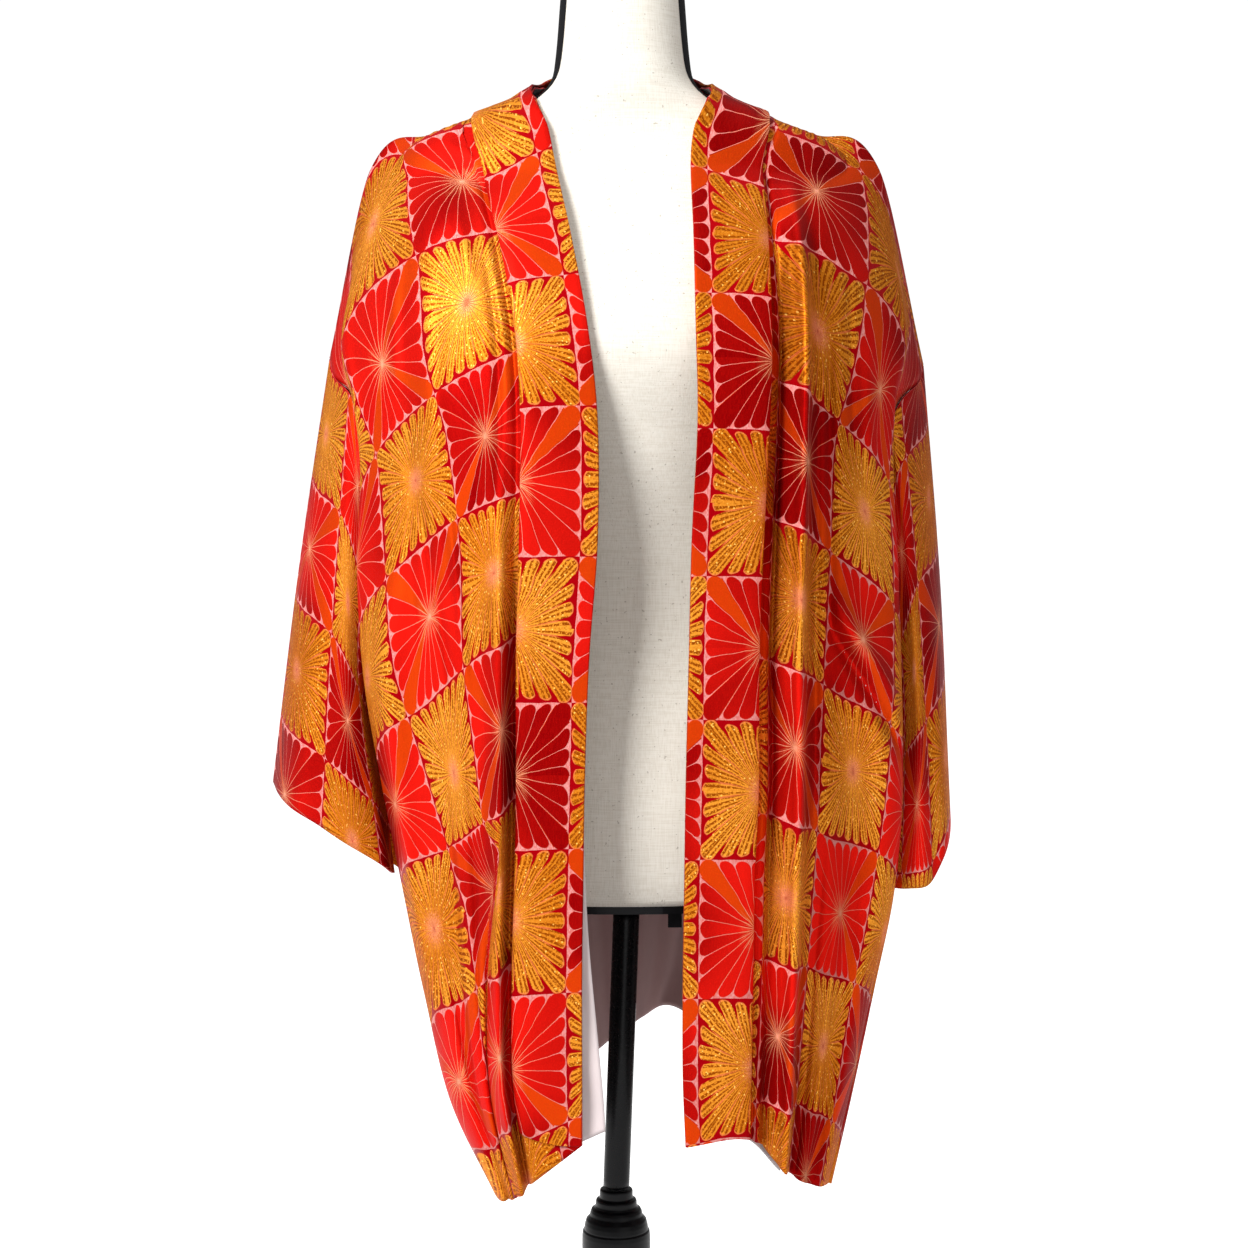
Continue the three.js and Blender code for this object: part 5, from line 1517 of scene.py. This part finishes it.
    def sleeve(self, side: Side) -> None:
        """A tube from the armhole over its middle to the cuff, on a smooth curve at each place round it.

        Its spare width stands in two tucks, squared sines, on the inner side, and the cuff ripples.

        Args:
            side: the side of the jacket.
        """
        half = side.sleeve
        mirrored = [(1 - p, -a, (m[0] + 2, -m[1] + 3, m[2]), (c[0] + 2, -c[1] + 4, c[2]), -w)
                    for p, a, m, c, w in half[:-1][::-1]]
        mirrored[-1] = (1.0, 0.0, half[0][2], half[0][3], 0)
        table = half + mirrored
        places = [row[0] for row in table]
        fine = np.linspace(0, 1, 181)[:-1]
        w = hermite(places, fine)
        halfway = np.where(fine <= 0.5, fine, 1 - fine)
        along = np.interp(halfway, places[:7], [row[1] for row in half]) * np.where(fine <= 0.5, 1, -1)
        start = self.armhole(side, along)
        under = (fine > 0.47) & (fine < 0.53)
        ends = self.armhole(side, np.array([self.armhole_end, -self.armhole_end]))
        start[under] = ends.mean(axis=0)
        middle, cuff = (w @ np.array([row[k] for row in table], float) for k in (2, 3))
        reach = np.linspace(0, 1, 70)
        w3 = hermite([0, 0.5, 1], reach)
        grid = np.einsum("ir,rcj->icj", w3, np.stack([start, middle, cuff]))
        in_tucks = np.clip((fine - 0.36) / 0.28, 0, 1)
        opened = smooth(reach * 1.4 + 0.1)[:, None]
        tuck = (np.sin(np.pi * 4 * in_tucks) ** 2)[None, :] * self.tuck_depth * opened
        ease = 3 * (1 - reach)[:, None] * ((in_tucks > 0) & (in_tucks < 1))[None, :]
        grid[..., 0] += tuck + ease
        grid[..., 2] += tuck * 0.75
        ripple = smooth(reach)[:, None] * rise(-np.abs(fine - 0.14), -0.14, -0.02)[None, :]
        wave = np.sin(2 * np.pi * (fine[None, :] / 0.11 + 0.2 * reach[:, None]))
        grid[..., 1] -= self.ripple_depth * ripple * wave
        grid[..., 0] *= side.sign

        half_warp = [row[4] for row in half]
        wrapped = np.concatenate([fine, [1.0]])
        warp = np.where(wrapped <= 0.5, np.interp(wrapped, places[:7], half_warp),
                        -np.interp(1 - wrapped, places[:7], half_warp))
        weft = side.sleeve_weft + 0.32 * reach[:, None]
        flat = np.stack(np.broadcast_arrays(weft, warp[None, :] * 0.01), axis=2)
        piece = wall_mesh(f"sleeve_tube_{side.word}", grid, flat, self.wall, closed=True, flip=side.sign > 0)
        self.wardrobe.dress(piece, Finish.SILK, f"sleeve_{side.word}", lined=True)

    # ---- lining
    def lining(self, side: Side) -> None:
        """A strip of lining: the front's surface moved in along its normals, more and more downward.

        Args:
            side: the side of the jacket.
        """
        down = np.linspace(*side.lining_down, 70)
        across = np.linspace(*side.lining_across, 24)
        grid = side.front.surface(across, down, plain=not side.lining_folded)
        grid = FORM.clear(grid)
        facing = normals_of(grid)
        t = smooth(np.linspace(0, 1.2, 70))[:, None, None]
        near, far = side.lining_behind
        grid = grid + facing * (near + (far - near) * t)
        swing_down = smooth(np.linspace(-0.3, 1.0, 70))[:, None]
        grid[..., 0] += side.lining_swing * (1 - np.linspace(0, 1, 24))[None, :] * swing_down
        grid[..., 1] += 0.8 * np.sin(down[:, None] * 60 + across[None, :] * 30) * t[..., 0]
        grid[..., 0] *= side.sign
        piece = wall_mesh(f"lining_strip_{side.word}", grid, None, 0.6, flip=side.sign > 0)
        self.wardrobe.dress(piece, Finish.LINING, f"front_lining_{side.word}")

    def build(self) -> None:
        """Builds both sides."""
        for side in (LEFT, RIGHT):
            self.body(side)
            self.collar(side)
            self.gusset(side)
            self.sleeve(side)
            self.lining(side)


def soften(piece: Piece, width: float) -> None:
    """Rounds a wall's long edges.

    Args:
        piece: the wall.
        width: how far the rounding reaches, in millimetres.
    """
    bevel = piece.modifiers.new("edge", "BEVEL")
    bevel.width = width * MM
    bevel.segments = 3
    bevel.limit_method = "ANGLE"
    bevel.angle_limit = math.radians(50)


# ---------------------------------------------------------------- stage
@dataclass(frozen=True)
class Studio:
    """A pale floor, a white surround, soft lamps and the camera."""

    distance: float = 1.70
    height: float = 0.785
    side: float = 0.0011
    pitch: float = math.radians(3.13)
    lens: float = 65.385
    floor_reach: float = 60000.0
    sky_light: float = 0.40
    sky_seen: float = 1.05

    def floor(self) -> None:
        """A level floor out to the horizon, just under the feet."""
        reach = np.array([-1.0, 1.0]) * self.floor_reach
        grid = np.stack(np.broadcast_arrays(reach[None, :], reach[:, None], -0.4), axis=2)
        floor = grid_mesh("floor", grid, flip=True)
        floor.visible_diffuse = False
        g = Graph("floor_paper")
        tone = g.mix(g.noise(g.place(), 3.0), (0.93, 0.93, 0.93), (0.95, 0.95, 0.95))
        floor.data.materials.append(g.finish(Base_Color=tone, Roughness=0.95,
                                             Emission_Color=(1.0, 1.0, 1.0), Emission_Strength=0.8))

    def lamp(self, name: str, at: Place, size: float, power: float, target: Place) -> None:
        """A soft square lamp that faces a point.

        Args:
            name: the lamp's name.
            at: where it hangs, in metres.
            size: the side of the square.
            power: watts.
            target: the point that it faces.
        """
        data = bpy.data.lights.new(name, "AREA")
        data.size = size
        data.energy = power
        lamp = bpy.data.objects.new(name, data)
        bpy.context.scene.collection.objects.link(lamp)
        lamp.location = at
        direction = np.array(target) - np.array(at)
        lamp.rotation_euler = mathutils.Vector(direction).to_track_quat("-Z", "Y").to_euler()

    def build(self) -> None:
        """Puts up floor, lamps, sky and camera."""
        self.floor()
        self.lamp("key", (-1.7, -1.95, 2.35), 1.0, 110, (0, 0, 0.8))
        self.lamp("fill", (1.6, -2.4, 1.1), 2.0, 9, (0, 0, 0.7))
        self.lamp("top", (0.0, 0.2, 3.2), 2.4, 14, (0, 0, 0.6))
        world = bpy.data.worlds.new("studio")
        bpy.context.scene.world = world
        world.use_nodes = True
        sky = world.node_tree.nodes["Background"]
        seen = world.node_tree.nodes.new("ShaderNodeLightPath").outputs["Is Camera Ray"]
        strength = world.node_tree.nodes.new("ShaderNodeMapRange")
        world.node_tree.links.new(seen, strength.inputs[0])
        strength.inputs[3].default_value = self.sky_light
        strength.inputs[4].default_value = self.sky_seen
        sky.inputs[0].default_value = (1, 1, 1, 1)
        world.node_tree.links.new(strength.outputs[0], sky.inputs[1])
        bpy.context.scene.view_settings.view_transform = "Standard"
        camera_data = bpy.data.cameras.new("camera")
        camera_data.lens = self.lens
        camera = bpy.data.objects.new("camera", camera_data)
        bpy.context.scene.collection.objects.link(camera)
        axis = to_frame(np.zeros(3))
        camera.location = (axis[0] + self.side, axis[1] - self.distance, self.height)
        camera.rotation_euler = (math.pi / 2 - self.pitch, 0.0, 0.0)
        bpy.context.scene.camera = camera


def main() -> None:
    """Builds the form, the stand, the jacket and the studio."""
    logging.basicConfig(level=logging.INFO, format="%(name)s: %(message)s")
    wardrobe = Wardrobe()
    DressForm(wardrobe).build()
    Stand(wardrobe).build()
    Haori(wardrobe).build()
    Studio().build()


if __name__ == "__main__":
    main()
